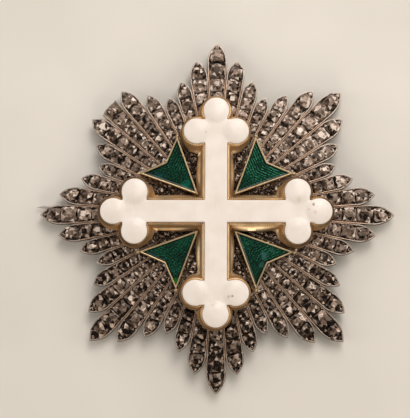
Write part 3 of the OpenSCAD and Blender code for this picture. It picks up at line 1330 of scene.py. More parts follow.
@dataclass
class StoneField:
    """The stones of the fans, and the silver grains between them.

    No stone is set under the cross or the cells. The girdles lie at girdle_z from the dome,
    and the grains at grain_z. A stone reaches further than its solid, along its ray and across
    it under the rims, and is turned by up to spin and lean, in radians.
    """

    star: SilverStar
    cross: "CrossPlan"
    cells: "CellPlan"
    cut: StoneCut = field(default_factory=StoneCut)
    smallest: float = 0.2
    girdle_z: float = -0.08
    along: float = 0.05
    across: float = -0.02
    spin: float = 0.1
    lean: float = 0.1
    seed: int = 11
    grain_r: float = 0.16
    grain_z: float = -0.03

    def hidden(self, x: float, y: float, radius: float) -> bool:
        """Tells whether a stone would lie wholly under the cross or a cell."""
        return self.cross.covers(x, y, radius) or self.cells.covers(x, y, radius)

    def rows(self, fan: Fan) -> list[tuple[float, RayPlan, list[tuple[float, float]]]]:
        """Lays out the stones of one set of fans.

        Args:
            fan: Which set.

        Returns:
            Each ray's angle, its plan, and its stones' distances and radii.
        """
        found = []
        for ray in range(self.star.count):
            if self.star.fan_of(ray) != fan:
                continue
            plan = self.star.plan_of(ray)
            row = plan.stones(self.smallest)
            if ray == self.star.broken:
                row = [self.star.end_stone, *plan.stones(self.smallest, self.star.after_end)]
            found.append((ray * self.star.step, plan, row))
        return found

    def stones(self, fan: Fan, tree: NodeTree, finish: Material, cut: Object) -> Object:
        """Sets the stones of one set of fans.

        Args:
            fan: Which set.
            tree: The tree that sets a piece on each mark.
            finish: The stones' material.
            cut: A stone with a radius and a height of one.

        Returns:
            The stones as one piece.
        """
        marks = Marks()
        for angle, plan, row in self.rows(fan):
            for r, radius in row:
                x, y = r * math.cos(angle), r * math.sin(angle)
                if self.hidden(x, y, radius):
                    continue
                wider = self.across + plan.rim * (1 - float(plan.taper(r)))
                height = self.cut.height(radius)
                foot = self.girdle_z - self.cut.rings[1][1] * height
                marks.put((x, y, self.star.dome.top(r) + foot),
                          (radius + self.along, radius + wider, height),
                          (0.0, self.star.dome.tilt(r), angle))
        log.info("%s fans: %d stones", fan.value, len(marks.places))
        return grown(marks.host(), tree, f"rose_cut_stones_{fan.value}", Piece=cut,
                     Spin=self.spin, Lean=self.lean, Seed=self.seed + len(fan.value),
                     Finish=finish)

    def grains(self, tree: NodeTree, finish: Material, bead: Object) -> Object:
        """Sets a silver grain on each side of the gaps between stones.

        Args:
            tree: The tree that sets a piece on each mark.
            finish: The grains' material.
            bead: A bead with a radius of one.

        Returns:
            The grains as one piece.
        """
        marks = Marks()
        for angle, plan, row in (found for fan in Fan for found in self.rows(fan)):
            for (far, big), (near, small) in zip(row, row[1:]):
                r = (far - big + near + small) / 2
                side = r * math.tan(plan.half_step)
                if r > plan.shoulder:
                    fall = plan.arc_r - plan.widest
                    side = math.sqrt(plan.arc_r ** 2 - (r - plan.shoulder) ** 2) - fall
                size = self.grain_r * min(1.0, 0.55 + 0.45 * small)
                # A quarter of it is let into the rim
                inset = plan.rim * float(plan.taper(r)) + 0.75 * size
                for off in (inset - side, side - inset):
                    x = r * math.cos(angle) - off * math.sin(angle)
                    y = r * math.sin(angle) + off * math.cos(angle)
                    if not self.hidden(x, y, size):
                        marks.put((x, y, self.star.dome.top(r) + self.grain_z), (size,) * 3)
        log.info("%d grains", len(marks.places))
        return grown(marks.host(), tree, "silver_grains", Piece=bead, Spin=1.0, Lean=0.4,
                     Seed=self.seed, Finish=finish)


# The gold cross and its enamels

@dataclass(frozen=True)
class CrossPlan:
    """Plan of the white enamel: four arms that each end in three round lobes.

    A trefoil's middle lies at trefoil_u and its side lobes lobe_v off the arm. The bars between
    the lobes are narrower than them by the neck. The gold reaches out by the flare. Beyond the
    trefoil's middle, corners are rounded only by the share outer_fillet.
    """

    reach: float
    trefoil_u: float = 18.9
    lobe_v: float = 4.6
    arm_w: float = 5.2
    lobe_r: float = 3.05
    neck: float = 0.25
    flare: float = 0.95
    outer_fillet: float = 0.25

    @property
    def lobes(self) -> tuple[tuple[float, float], ...]:
        """Middles of the lobes of the arm along +X."""
        return ((self.trefoil_u, -self.lobe_v), (self.reach - self.lobe_r, 0.0),
                (self.trefoil_u, self.lobe_v))

    @property
    def bar(self) -> float:
        """Half the width of the bars between the lobes."""
        return self.lobe_r - self.neck

    @property
    def root_u(self) -> float:
        """Where an arm's straight edges end, before its trefoil."""
        return self.trefoil_u - self.bar - 0.6

    def folded(self, plan: np.ndarray) -> tuple[np.ndarray, np.ndarray]:
        """Returns a plan's places in one arm: along it, and across it from its middle."""
        size = np.abs(plan)
        return size.max(1), size.min(1)

    def distance(self, plan: np.ndarray, fillet: float) -> np.ndarray:
        """Measures how far places lie outside the enamel's edge.

        Args:
            plan: One row of x and y a place.
            fillet: How widely the hollow corners are rounded.

        Returns:
            The distance of each place, below zero inside the edge.
        """
        u, v = self.folded(plan)
        end_u = self.lobes[1][0]
        # Each bar's axis, the places' distance from it, half its width, and its end
        bars = ((u, v, self.arm_w / 2, end_u), (v, u, self.arm_w / 2, end_u),
                (v, np.abs(u - self.trefoil_u), self.bar, self.lobe_v))
        parts = [np.maximum(across - half, along - end) for along, across, half, end in bars]
        parts += [np.hypot(u - a, v - b) - self.lobe_r for a, b in self.lobes[1:]]
        least = parts[0]
        soft = fillet * np.where(u > self.trefoil_u, self.outer_fillet, 1.0)
        for part in parts[1:]:
            near = np.maximum(soft - np.abs(least - part), 0) / soft
            least = np.minimum(least, part) - near ** 2 * soft / 4
        return least

    def moved(self, plan: np.ndarray, level: float, fillet: float) -> np.ndarray:
        """Moves places along the steepest way until they lie level outside the edge.

        Args:
            plan: One row of x and y a place.
            level: How far outside the edge they come to lie.
            fillet: How widely the hollow corners are rounded.

        Returns:
            The places' new plan.
        """
        nudge, rounds, least_slope = 0.01, 4, 0.25
        for _ in range(rounds):
            slope = np.column_stack([
                self.distance(plan + aside, fillet) - self.distance(plan - aside, fillet)
                for aside in ((nudge, 0), (0, nudge))]) / (2 * nudge)
            size = np.maximum((slope ** 2).sum(1), least_slope)
            plan = plan - slope * ((self.distance(plan, fillet) - level) / size)[:, None]
        return plan

    def outer(self, plan: np.ndarray) -> np.ndarray:
        """Measures how far the edge faces away from the trefoils' roots.

        Args:
            plan: Places of the edge.

        Returns:
            A share for each place.
        """
        normal = unit(self.moved(plan, 0.3, 0.2) - plan)
        upright = np.abs(plan[:, 1]) > np.abs(plan[:, 0])
        axis = np.where(upright[:, None], (0.0, 1.0), (1.0, 0.0))
        away = unit(plan - axis * np.sign(plan) * self.root_u)
        facing = np.clip((normal * away).sum(1), 0, 1)
        return np.where(self.folded(plan)[0] > self.trefoil_u - self.lobe_r - 0.1, facing, 0.0)

    def covers(self, x: float, y: float, radius: float) -> bool:
        """Tells whether a round piece lies well under the gold body."""
        return bool(self.distance(np.array([(x, y)]), 0.1)[0] < self.flare - radius - 2.0)

    def outline(self, pitch: float) -> np.ndarray:
        """Draws the enamel's edge.

        Args:
            pitch: About how far apart its points lie.

        Returns:
            The edge's plan, counterclockwise.
        """
        half = self.arm_w / 2
        low = math.sqrt(self.lobe_r ** 2 - self.bar ** 2)
        bar_in, bar_out = self.trefoil_u - self.bar, self.trefoil_u + self.bar
        corner = math.degrees(math.atan2(low, self.bar))
        meet = math.degrees(math.asin(half / self.lobe_r))
        neck_u = self.lobes[1][0] - self.lobe_r * math.cos(math.radians(meet))

        def line(*corners: tuple[float, float]) -> list[np.ndarray]:
            """Returns the lines through some corners, each without its last point."""
            return [np.linspace(a, b, max(1, round(math.dist(a, b) / pitch)) + 1)[:-1]
                    for a, b in zip(corners, corners[1:])]

        def arc(lobe: int, start: float, end: float) -> np.ndarray:
            """Draws a lobe's edge, without its last point.

            Args:
                lobe: Number of the lobe.
                start: Angle in degrees.
                end: Angle in degrees.

            Returns:
                The edge's plan.
            """
            steps = round(math.radians(end - start) * self.lobe_r / pitch)
            t = np.radians(np.linspace(start, end, steps + 1)[:-1])
            return circle(self.lobe_r, t) + self.lobes[lobe]

        arm = np.vstack([
            *line((half, -half), (bar_in, -half), (bar_in, low - self.lobe_v)),
            arc(0, 180 - corner, 360 + corner),
            *line((bar_out, low - self.lobe_v), (bar_out, -half), (neck_u, -half)),
            arc(1, meet - 180, 180 - meet),
            *line((neck_u, half), (bar_out, half), (bar_out, self.lobe_v - low)),
            arc(2, -corner, 180 + corner),
            *line((bar_in, self.lobe_v - low), (bar_in, half), (half, half))])
        return np.vstack([rotated(arm, k * math.pi / 2) for k in range(4)])


@dataclass(frozen=True)
class WallStep:
    """One line round the gold body.

    It lies out from the enamel's edge and at z, is as sheltered from polishing as its depth
    says, which also darkens it with grime and painted shade, has hollow corners rounded by the
    fillet, and lies further out by the swell at the middle of an arm and by the teeth of the
    chased edge.
    """

    out: float
    z: float
    depth: float
    fillet: float
    swell: float = 0.0
    tooth: float = 0.0


@dataclass
class GoldCross:
    """The gold body under the white enamel: a rim, a toothed edge and a foot that swells out.

    Attributes:
        level_swell: How much the level arms swell, as a share of the upright ones.
        worn_slope: How flat the lower side of the right arm is worn, out per mm down.
        worn_from: How far out and down that slope starts.
        worn_depth: How far down it goes.
        painted_shine: How much lighter it and the lower arm's left wall are painted, as highlights.
        level_darkening: How much darker the rims of the level arms are.
        hollow_grime: How much darker the upright and the level arms are between their teeth.
        steep_from: How far out the wall of the lobes' outer sides turns steep.
        steepness: How much of the flare those sides lack.
        outer_shade: How much darker they are painted, as shade.
        outer_rim_shade: How much darker the rim above them is painted, as shade.
        askew: How far the foot lies off to one side.
    """

    plan: CrossPlan
    foot_z: float
    top_z: float
    gold: Material
    pitch: float = 0.115
    tooth_pitch: float = 0.46
    swell_from: float = 3.6
    swell_to: float = 15.2
    level_swell: float = 0.75
    worn_slope: float = 1.5
    worn_from: tuple[float, float] = (0.45, 0.09)
    worn_depth: float = 0.92
    painted_shine: float = 0.28
    level_darkening: float = 0.3
    hollow_grime: tuple[float, float] = (0.3, 0.55)
    steep_from: float = 0.45
    steepness: float = 0.75
    outer_shade: float = 0.35
    outer_rim_shade: float = 0.38
    askew: tuple[float, float] = (-0.35, 0.0)
    bead_r: float = 0.15
    bead_pitch: float = 0.46

    def steps(self) -> list[WallStep]:
        """Lists the lines round the body.

        Returns:
            The lines, from its foot to the enamel's seat.
        """
        foot, top = self.foot_z, self.top_z
        rows = ((1.12, foot, 0.9, 1.6, 0.6), (1.2, foot + 0.1, 0.35, 1.6, 0.7),
                (1.13, foot + 0.3, 0.2, 1.5, 0.58), (1.02, foot + 0.52, 0.15, 1.3, 0.38),
                (0.92, foot + 0.74, 0.15, 1.1, 0.17), (0.84, foot + 1.0, 0.2, 0.9, 0.03),
                (0.76, foot + 1.6, 0.25, 0.7), (0.7, top - 1.1, 0.28, 0.6),
                (0.67, top - 0.62, 0.28, 0.5), (0.62, top - 0.45, 0.36, 0.4, 0.0, 0.09),
                (0.5, top - 0.24, 0.3, 0.3, 0.0, 0.09), (0.37, top - 0.09, 0.22, 0.25, 0.0, 0.03),
                (0.3, top - 0.02, 0.18, 0.25), (0.17, top, 0.12, 0.2),
                (0.09, top - 0.02, 0.12, 0.15), (0.04, top - 0.12, 0.25, 0.1),
                (0.03, top - 0.3, 0.5, 0.1))
        return [WallStep(*row) for row in rows]

    def body(self) -> Object:
        """Makes the body.

        Returns:
            The body.
        """
        outline = self.plan.outline(self.pitch)
        lengths = np.linalg.norm(np.roll(outline, -1, 0) - outline, axis=1)
        along = np.concatenate([[0], np.cumsum(lengths)[:-1]])
        tooth = np.cos(along * 2 * math.pi / self.tooth_pitch)
        u, v = self.plan.folded(outline)
        share = np.clip((u - self.swell_from) / (self.swell_to - self.swell_from), 0, 1)
        on_arm = v < self.plan.arm_w / 2 + 0.1
        full = np.where(on_arm, np.clip(np.sin(math.pi * share ** 0.75), 0, 1), 0.0)
        x, y = outline.T
        upright = np.abs(y) > np.abs(x)
        worn = (x > 0) & (y < 0) & ~upright
        lens = np.where(worn, full ** 0.6, 0.0)
        # Painted highlight: the worn lens and the left wall of the lower arm are painted lighter
        shine = np.where((x < 0) & (y < 0) & upright, full, lens)
        level = np.where(worn, 0.0, self.level_swell * np.sqrt(full))
        swell = np.where(upright, full, level)
        outer = self.plan.outer(outline)
        hollow = np.where(upright, *self.hollow_grime) * np.clip(-tooth, 0, 1)
        worn_out, worn_down = self.worn_from
        plan, nudge, rings = outline, 0.1, []
        for step in reversed(self.steps()):
            plan = self.plan.moved(plan, step.out, step.fillet)
            inner = self.plan.moved(plan, step.out - nudge, step.fillet)
            outwards = (plan - inner) / nudge
            past = max(step.out - self.steep_from, 0.0)
            further = swell * step.swell + tooth * step.tooth - past * self.steepness * outer
            if step.z < self.top_z - 0.05:
                below = min(max(self.top_z - worn_down - step.z, 0.0), self.worn_depth)
                further += lens * max(worn_out + self.worn_slope * below - step.out, 0.0)
            depth = step.depth + hollow * (step.tooth > 0.02)
            # Painted shade on the lobes' outer walls and on the rim above them
            depth += (self.outer_shade if past else self.outer_rim_shade) * outer
            # The rims of the level arms are darker
            if not past:
                depth += self.level_darkening * ~upright
            # Painted highlight on the lens and on the lower arm's left wall
            if 0.35 < step.out < 1.1:
                depth -= self.painted_shine * shine
            places = plan + outwards * further[:, None] + np.array(self.askew) * past
            rings.append((lifted(places, step.z), depth))
        rings.append((lifted(outline, self.foot_z), 1.0))
        places, depths = zip(*reversed(rings))
        shell = Shell()
        shell.skin(places, shell.cap, shell.cap, depth=list(depths))
        return shell.made("gold_body", self.gold, crease=50)

    def milgrain(self, bead: Object) -> Object:
        """Rolls the row of beads along the edges of the arms.

        Args:
            bead: A bead with a radius of one.

        Returns:
            The beads as one piece.
        """
        out = self.plan.arm_w / 2 + 0.42
        ends = (out + 0.35, self.plan.root_u)
        arm = np.array([(u, side * out) for side in (-1, 1) for u in ends])
        plan = np.vstack([rotated(arm, k * math.pi / 2) for k in range(4)])
        mesh = bpy.data.meshes.new("milgrain_edges")
        mesh.from_pydata(lifted(plan, self.top_z - 0.17) * MM,
                         [(k, k + 1) for k in range(0, len(plan), 2)], [])
        return grown(placed("milgrain_edges", mesh), beaded_edge_tree(), "gold_milgrain",
                     Bead=bead, Radius=self.bead_r, Pitch=self.bead_pitch * MM,
                     Finish=self.gold)


@dataclass
class WhiteFace:
    """The white enamel: flat bands with rounded edges, and a low dome on each lobe.

    It goes from low_z, in the gold's recess, to top_z on the lobes, whose tops lie lobe_shift
    from their middles towards the trefoil's. Its grid ends grid_gap inside the edges.
    """

    plan: CrossPlan
    low_z: float
    top_z: float
    enamel: Material
    lobe_rise: float = 0.75
    lobe_shift: float = 0.9
    edge_r: float = 0.3
    fillet: float = 0.12
    pitch: float = 0.3
    grid_half: float = 27.0
    grid_pitch: float = 0.42
    grid_gap: float = 0.3

    def height(self, plan: np.ndarray) -> np.ndarray:
        """Measures the face's height, without its rounded edge.

        Args:
            plan: The places to measure at.

        Returns:
            The height of each place.
        """
        u, v = self.plan.folded(plan)
        rise = np.zeros(len(plan))
        shift = self.lobe_shift
        for a, b in self.plan.lobes[1:]:
            middle = math.hypot(a - self.plan.trefoil_u, b)
            out_u, out_v = (a - self.plan.trefoil_u) / middle, b / middle
            across = (u - a + shift * out_u) ** 2 + (v - b + shift * out_v) ** 2
            along = (u - a) * out_u + (v - b) * out_v + shift
            room = self.plan.lobe_r ** 2 - shift ** 2
            share = (np.sqrt((shift * along) ** 2 + room * across) - shift * along) / room
            rise = np.maximum(rise, 1 - share ** 2)
        soft = 0.05
        domed = (rise - soft + np.sqrt((rise - soft) ** 2 + soft ** 2)) / 2
        return self.top_z - self.lobe_rise + self.lobe_rise * domed

    def face(self) -> Object:
        """Makes the whole face.

        Returns:
            The face.
        """
        plan = self.plan.outline(self.pitch)
        # The depth marks paint shade and the gold's warm reflection in the recess and on the
        # rounded edge
        rings, depth = [lifted(plan, self.low_z)], [0.8]
        bends = 6
        for k in range(bends + 1):
            t = k / bends * math.pi / 2
            inset = self.edge_r * (1 - math.cos(t)) + 0.005
            edge = self.plan.moved(plan, -inset, self.fillet)
            rings.append(lifted(edge, self.height(edge) - self.edge_r * (1 - math.sin(t))))
            depth.append(0.3 * (1 - k / bends) ** 2)
            plan = edge
        shell = Shell()
        shell.skin(rings, shell.cap, depth=depth)
        grid = hex_grid(self.grid_half, self.grid_pitch)
        inner = grid[self.plan.distance(grid, self.fillet) < -self.edge_r - self.grid_gap]
        shell.patch(plan, inner, self.height)
        return shell.made("white_enamel_face", self.enamel, crease=60, weld=0.002)


@dataclass(frozen=True)
class CellPlan:
    """Plan of a green arm along +X: a point at apex_u, a notch, and two points at its tips."""

    apex_u: float = 5.9
    tip_u: float = 19.35
    tip_v: float = 6.3
    notch_u: float = 16.9

    def ring(self, inset: float, steps: int = 1) -> np.ndarray:
        """Draws its edge in, counterclockwise from the inner point.

        Args:
            inset: How far in it lies.
            steps: How many steps each side has.

        Returns:
            The edge's plan.
        """
        corners = np.array([(self.apex_u, 0.0), (self.tip_u, -self.tip_v),
                            (self.notch_u, 0.0), (self.tip_u, self.tip_v)])
        ahead = unit(np.roll(corners, -1, 0) - corners)
        left = np.column_stack([-ahead[:, 1], ahead[:, 0]])
        before = np.roll(left, 1, 0)
        share = 1 + (left * before).sum(1)
        inner = corners + inset * (left + before) / share[:, None]
        return np.vstack([a + (b - a) * np.arange(steps)[:, None] / steps
                          for a, b in zip(inner, np.roll(inner, -1, 0))])

    def covers(self, x: float, y: float, radius: float) -> bool:
        """Tells whether a round piece lies wholly under one of the four arms.

        Args:
            x: Where its middle lies.
            y: Where its middle lies.
            radius: Its radius.

        Returns:
            Whether it does.
        """
        u = (abs(x) + abs(y)) / math.sqrt(2)
        v = abs(abs(x) - abs(y)) / math.sqrt(2)
        side = self.tip_v / (self.tip_u - self.apex_u)
        margin = radius * 0.6 + 0.25
        inside = (side * (u - self.apex_u) - v) / math.hypot(side, 1)
        slant = (self.tip_u - self.notch_u) / self.tip_v
        short = (self.notch_u + slant * v - u) / math.hypot(slant, 1)
        return inside > margin and short > margin


@dataclass
class GreenArm:
    """One arm of the green saltire: a gold cell on a tongue, and the enamel in it.

    The enamel's edge lies at face_z and below the cell's rim by drop, and its middle is lower
    by the dish. Its cuts are as deep as cut, a line apart.
    """

    plan: CellPlan
    foot_z: float
    face_z: float
    drop: float = 0.08
    rim_w: float = 0.42
    ball_r: float = 0.5
    tongue_w: float = 1.6
    tongue_h: float = 0.7
    dish: float = 0.05
    line: float = 0.62
    cut: float = 0.002

    def cell(self) -> Shell:
        """Makes the gold cell, with its balls and the tongue that carries it.

        Returns:
            The cell along +X.
        """
        foot, rim = self.foot_z, self.face_z + self.drop
        lines = ((0.03, foot, 0.95), (0.0, foot + 0.08, 0.9), (0.0, rim - 0.35, 0.5),
                 (0.02, rim - 0.12, 0.15), (0.08, rim - 0.02, 0.0), (0.2, rim, 0.0),
                 (0.33, rim - 0.03, 0.0), (0.4, rim - 0.12, 0.3), (self.rim_w, rim - 0.5, 0.9))
        shell = Shell()
        shell.skin([lifted(self.plan.ring(inset, 28), z) for inset, z, _ in lines],
                   shell.cap, shell.cap, depth=[depth for _, _, depth in lines])
        tip = ball(self.ball_r, 20, 9, 0.1)
        for v in (-self.plan.tip_v, self.plan.tip_v):
            shell.join(tip, Matrix.Translation((self.plan.tip_u, v, (foot + rim) / 2 + 0.12)))
        half = self.tongue_w / 2
        start, end = self.plan.apex_u / 2, self.plan.apex_u + 2.4
        tongue = np.array([(start, -half), (end, -half), (end, half), (start, half)])
        shell.skin([lifted(tongue, foot), lifted(tongue * (1, 0.9), foot + self.tongue_h)],
                   shell.cap, shell.cap, depth=[0.9, 0.8])
        return shell

    def enamel(self) -> Shell:
        """Makes the enamel: rows of cuts parallel to the notch, on a shallow dish.

        Returns:
            The enamel along +X.
        """
        apex, _, notch, tip = self.plan.ring(self.rim_w + 0.02)
        columns, rows, soft = 28, 96, 0.45
        across = np.sin(np.linspace(-math.pi / 2, math.pi / 2, columns + 1))
        shell = Shell(marks={"depth": [], "row": []})
        plans, face = [], []
        for k in range(rows + 1):
            share = 0.004 + 0.996 * k / rows
            row = (notch[0] - apex[0]) * share
            plans.append(np.column_stack([
                apex[0] + row + (tip[0] - notch[0]) * share * np.abs(across),
                tip[1] * share * across]))
            # About how far each point lies from the cell's rim
            edge = np.minimum((1 - np.abs(across)) * tip[1] * share, (1 - share) * 8)
            rim = np.clip(1 - edge / soft, 0, 1)
            wave = self.cut * math.sin(2 * math.pi * row / self.line)
            z = self.face_z + (wave - self.dish) * (1 - rim)
            face.append(shell.ring(lifted(plans[-1], z), depth=rim, row=row))
        floor_z = self.face_z + self.drop - 0.45
        under = [shell.ring(lifted(plan, floor_z), depth=1.0) for plan in plans]
        left, right = ([np.array([row[end] for row in rings]) for rings in (under, face)]
                       for end in (0, -1))
        walls = [*zip(face, face[1:]), *zip(under[1:], under), left, reversed(right),
                 (face[-1], under[-1]), (under[0], face[0])]
        for low, high in walls:
            shell.bridge(low, high, closed=False)
        return shell


# The pin, its hinge and its catch

@dataclass
class PinWork:
    """The brooch pin, and on the star's back the hinge and catch that hold it.

    The pin's box goes from low to high. The play is the room at each side of the barrel, and
    round the wire in the catch.
    """

    star: SilverStar
    low: np.ndarray
    high: np.ndarray
    catch_x: float = -30.0
    wire_r: float = 0.5
    barrel_r: float = 0.85
    barrel_w: float = 1.6
    bore_r: float = 0.45
    point_l: float = 4.0
    point_r: float = 0.12
    ear_r: float = 0.95
    ear_t: float = 0.7
    side_play: float = 0.1
    rivet_r: float = 0.4
    fork_l: float = 2.4
    fork_t: float = 0.7
    fork_play: float = 0.1

    @property
    def hinge(self) -> Place:
        """Middle of the hinge's rivet."""
        return (self.high[0] - self.barrel_r, (self.low[1] + self.high[1]) / 2,
                self.high[2] - self.barrel_r)

    def at_hinge(self, turn: float, axis: str) -> Matrix:
        """Returns what turns a shell about an axis and moves it to the hinge."""
        return Matrix.Translation(self.hinge) @ Matrix.Rotation(turn, 4, axis)

    def pin(self, steel: Material) -> Object:
        """Makes the pin: a pointed wire and its barrel.

        Args:
            steel: Its finish.

        Returns:
            The pin.
        """
        length = self.hinge[0] - self.low[0]
        start = self.barrel_r * 0.8
        profile = [(0.02, start - 0.02), (self.wire_r, start), (self.wire_r, 2.0)]
        profile += [(self.wire_r, z) for z in np.linspace(6, length - self.point_l, 14)]
        for t in np.linspace(0.15, 1, 8):
            radius = self.wire_r + (self.point_r - self.wire_r) * t ** 1.15
            profile.append((radius, length - self.point_l * (1 - t)))
        profile.append((0.0, length))
        shell = Shell()
        shell.join(turned(profile, 20), self.at_hinge(-math.pi / 2, "Y"))
        half, ease = self.barrel_w / 2, 0.08
        eased = self.barrel_r - ease
        profile = ((self.bore_r, -half), (eased, -half), (self.barrel_r, -half + ease),
                   (self.barrel_r, half - ease), (eased, half), (self.bore_r, half),
                   (self.bore_r, -half))
        shell.join(turned(profile, 28), self.at_hinge(math.pi / 2, "X"))
        return shell.made("brooch_pin", steel, weld=0.0001)

    def plate_z(self, x: float, y: float) -> float:
        """Returns the height of the back plate's underside, less a little for the solder."""
        return self.star.dome.top(math.hypot(x, y)) - self.star.plate_t + 0.2

    def ear(self, side: int) -> Shell:
        """Makes an ear of the hinge: a rounded tab with eased edges.

        Args:
            side: Which side it stands on, -1 or 1.

        Returns:
            The ear.
        """
        x, y, z = self.hinge
        high = self.plate_z(x + self.ear_r, y) - z
        arc = circle(self.ear_r, np.radians(np.linspace(180, 360, 19)))
        profile = np.vstack([arc, [(self.ear_r * 1.15, high), (-self.ear_r * 1.15, high)]])
        middle = y + side * (self.barrel_w / 2 + self.side_play + self.ear_t / 2)
        rings = []
        for scale, out in ((0.93, -0.5), (1.0, -0.42), (1.0, 0.42), (0.93, 0.5)):
            flat = profile * scale
            flat[-2:, 1] = high
            rings.append(np.insert(flat + (x, z), 1, middle - out * self.ear_t, axis=1))
        shell = Shell()
        shell.skin(rings, shell.cap, shell.cap, depth=0.3)
        return shell

    def rivet(self) -> Shell:
        """Makes the hinge's rivet, with a low head on each ear.

        Returns:
            The rivet along Z, round the origin.
        """
        half = self.barrel_w / 2 + self.side_play + self.ear_t
        head_r = self.rivet_r * 1.25
        head = [(self.rivet_r, half), (head_r, half + 0.02), (head_r * 0.6, half + 0.13),
                (0.0, half + 0.16)]
        return turned([*((r, -z) for r, z in reversed(head)), *head], 20, depth=0.1)

    def fork(self) -> Shell:
        """Makes the catch: a fork whose slot the pin swings up into.

        Returns:
            The fork.
        """
        slot = self.wire_r + self.fork_play
        out, ease, half = slot + self.fork_t, 0.14, self.fork_l / 2
        spring = self.hinge[2] + slot - slot * 0.35
        high = self.plate_z(self.catch_x - half, self.hinge[1])
        leg = [(out, high), (out, ease), (out - ease, 0), (slot + ease, 0), (slot, ease)]
        roof = circle(slot, np.radians(np.linspace(180, 0, 9))) * (1, 0.35) + (0, spring)
        section = np.vstack([np.array(leg) * (-1, 1), roof, leg[::-1]])
        shell = Shell()
        shell.skin([np.insert(section + (self.hinge[1], 0), 0, self.catch_x + x, axis=1)
                    for x in (-half, half)], shell.cap, shell.cap, depth=0.3)
        return shell

    def hinge_and_catch(self) -> Object:
        """Makes the ears, the rivet and the fork as one soldered piece.

        Returns:
            The piece.
        """
        shell = Shell()
        shell.join(self.ear(-1))
        shell.join(self.ear(1))
        shell.join(self.rivet(), self.at_hinge(math.pi / 2, "X"))
        shell.join(self.fork())
        return outward(shell.made("hinge_and_catch", self.star.silver))


# The studio

def direction(azimuth: float, elevation: float) -> Vector:
    """Returns the unit vector at an azimuth, from -Y counterclockwise, and elevation in degrees."""
    a, e = math.radians(azimuth), math.radians(elevation)
    return Vector((math.sin(a) * math.cos(e), -math.cos(a) * math.cos(e), math.sin(e)))


@dataclass(frozen=True)
class SoftBox:
    """A square soft light that looks at the star, with its place as direction takes it."""

    name: str
    azimuth: float
    elevation: float
    distance: float
    size: float
    watts: float
    colour: str

    def light(self) -> None:
        """Adds the light to the scene."""
        data = bpy.data.lights.new(self.name, "AREA")
        data.size = self.size * MM
        data.energy = self.watts
        data.color = linear(self.colour)[:3]
        light = placed(self.name, data)
        back = direction(self.azimuth, self.elevation)
        light.location = back * self.distance * MM
        light.rotation_euler = back.to_track_quat("Z", "Y").to_euler()
        light.visible_camera = False


@dataclass
class Studio:
    """Floor, lights and camera, with the camera where the photograph was taken from.

    The camera looks at aim, and is rolled about its own axis. Its focal length and the
    photograph's size are in pixels, and angles are in degrees.
    """

    azimuth: float = 11.85
    elevation: float = 81.54
    roll: float = -11.65
    distance: float = 300.0
    aim: Place = (-2.81, 1.80, 0.0)
    focal_px: float = 1257.0
    image_px: tuple[int, int] = (410, 418)
    floor_side: float = 1600.0
    room_colour: str = "#d9d6d2"
    room_strength: float = 0.22
    boxes: tuple[SoftBox, ...] = (
        SoftBox("window_light", 152, 55, 800, 600, 2.1, "#fff8f0"),
        SoftBox("key_light", 162, 48, 330, 150, 0.3, "#fff6ec"),
        SoftBox("fill_light", -40, 50, 700, 300, 0.34, "#fff6ee"),
        SoftBox("low_front_light", 5, 24, 480, 160, 0.55, "#ffefd8"),
        SoftBox("low_right_light", 95, 24, 480, 240, 0.55, "#fff3e4"),
        SoftBox("low_rear_light", 185, 20, 480, 240, 0.4, "#fff6ee"),
        SoftBox("low_left_light", 275, 24, 480, 240, 0.55, "#fff3e4"))

    def camera(self) -> None:
        """Adds the camera and makes it the scene's."""
        data = bpy.data.cameras.new("camera")
        data.sensor_width = 36.0
        data.lens = self.focal_px * data.sensor_width / max(self.image_px)
        data.clip_start = 10 * MM
        camera = placed("camera", data)
        back = direction(self.azimuth, self.elevation)
        level = direction(self.azimuth + 90, 0.0)
        over = back.cross(level)
        r = math.radians(self.roll)
        right = level * math.cos(r) + over * math.sin(r)
        up = over * math.cos(r) - level * math.sin(r)
        camera.matrix_world = Matrix((right, up, back)).transposed().to_4x4()
        camera.location = (Vector(self.aim) + back * self.distance) * MM
        bpy.context.scene.camera = camera

    def floor(self) -> None:
        """Adds the floor that the star lies on."""
        half = self.floor_side / 2
        corners = np.array([(-half, -half), (half, -half), (half, half), (-half, half)])
        shell = Shell()
        shell.cap(shell.ring(lifted(corners, 0.0)), up=True)
        shell.made("floor", PalePaper().material(), crease=None)

    def lights(self) -> None:
        """Adds the lights and the room's own dim light."""
        for box in self.boxes:
            box.light()
        world = bpy.data.worlds.new("room")
        world.use_nodes = True
        wire(world.node_tree, world.node_tree.nodes["Background"],
             {"Color": linear(self.room_colour), "Strength": self.room_strength})
        bpy.context.scene.world = world
        bpy.context.scene.view_settings.view_transform = "Standard"


def node_box(node: str) -> tuple[np.ndarray, np.ndarray]:
    """Returns a CAD node's lowest and highest corners, in millimetres."""
    low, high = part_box(node)
    return np.array(low) / MM, np.array(high) / MM


def settled(piece: Object, body: str, slot: str, *nodes: str) -> None:
    """Makes a piece ride on its body, hides the CAD nodes that it stands for, and reports it.

    Args:
        piece: The piece.
        body: The CAD body that it rides on.
        slot: The record's material slot. It is not used.
        nodes: The CAD nodes that it stands for.
    """
    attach(piece, body)
    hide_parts(*nodes)
    log.info("%s: %d faces on %s", piece.name, len(piece.data.polygons), body)


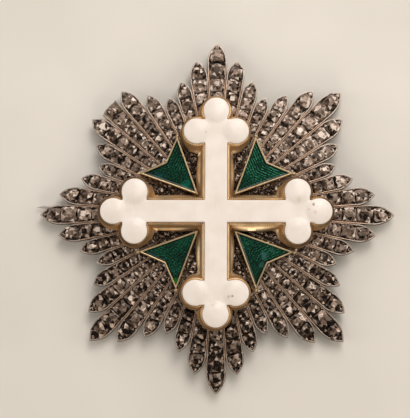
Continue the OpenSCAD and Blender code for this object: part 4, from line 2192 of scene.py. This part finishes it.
def main() -> None:
    """Builds the star's pieces in order."""
    logging.basicConfig(level=logging.INFO, format="%(name)s: %(message)s")
    studio = Studio()
    studio.camera()
    studio.floor()
    studio.lights()

    fit_gap = 0.05
    enamel_seat = 0.4
    star_high = node_box("ray_star")[1]
    cross_low = node_box("gold_cross")[0]
    white_low, white_high = node_box("white_enamel")
    green_high = node_box("green_enamel_ne")[1]

    silver = TarnishedSilver().material()
    gold = OldGold().material()
    star = SilverStar(Dome(reach=star_high[0], level=cross_low[2] - fit_gap), silver)
    settled(star.rays(), STAR, "tarnished_silver", "ray_star")
    settled(star.plate(), STAR, "tarnished_silver", "ray_star")

    pin_work = PinWork(star, *node_box("pin"))
    settled(pin_work.hinge_and_catch(), STAR, "tarnished_silver", "ray_star")
    settled(pin_work.pin(DrawnSteel().material()), PIN, "pin_steel", "pin")

    cross_plan = CrossPlan(reach=white_high[0])
    cell_plan = CellPlan()
    setting = set_pieces_tree()
    stone_finish = RoseCutStone().material()
    field_of_stones = StoneField(star, cross_plan, cell_plan)
    cut = field_of_stones.cut.shell().made("stone_cut", crease=None)
    for fan in Fan:
        stones = field_of_stones.stones(fan, setting, stone_finish, cut)
        settled(stones, STAR, "rose_cut_stone", f"stones_{fan.value}")
    bpy.data.objects.remove(cut)
    # The bead's depth mark is below zero, so the grains stay light in the painted shade between the
    # cross and the cells and show as glints
    bead = ball(1.0, 8, 6, -0.5).made("bead", crease=80)
    settled(field_of_stones.grains(setting, silver, bead), STAR, "tarnished_silver", "ray_star")

    body = GoldCross(cross_plan, cross_low[2], white_low[2] + enamel_seat, gold)
    settled(body.body(), STAR, "old_gold", "gold_cross")
    settled(body.milgrain(bead), STAR, "old_gold", "gold_cross")
    bpy.data.objects.remove(bead)
    face = WhiteFace(cross_plan, white_low[2], white_high[2], WhiteEnamel().material())
    settled(face.face(), STAR, "white_enamel", "white_enamel")

    arm = GreenArm(cell_plan, cross_low[2], green_high[2])
    cells = Shell()
    green = GreenEnamel().material()
    for number, corner in enumerate(("ne", "nw", "sw", "se")):
        turn = Matrix.Rotation(math.radians(45 + 90 * number), 4, "Z")
        cells.join(arm.cell(), turn)
        enamel = Shell(marks={"depth": [], "row": []})
        enamel.join(arm.enamel(), turn)
        piece = outward(enamel.made(f"green_enamel_face_{corner}", green, weld=0.0005))
        settled(piece, STAR, "green_enamel", f"green_enamel_{corner}")
    pale_gold = OldGold("pale_gold", "#ccb791", "#a88c66", "#8a6c48", "#4c3016", cloud_mm=0.5)
    cell_piece = cells.made("gold_cells", pale_gold.material(), crease=40, weld=0.0005)
    settled(outward(cell_piece), STAR, "old_gold", "gold_cross")


if __name__ == "__main__":
    main()
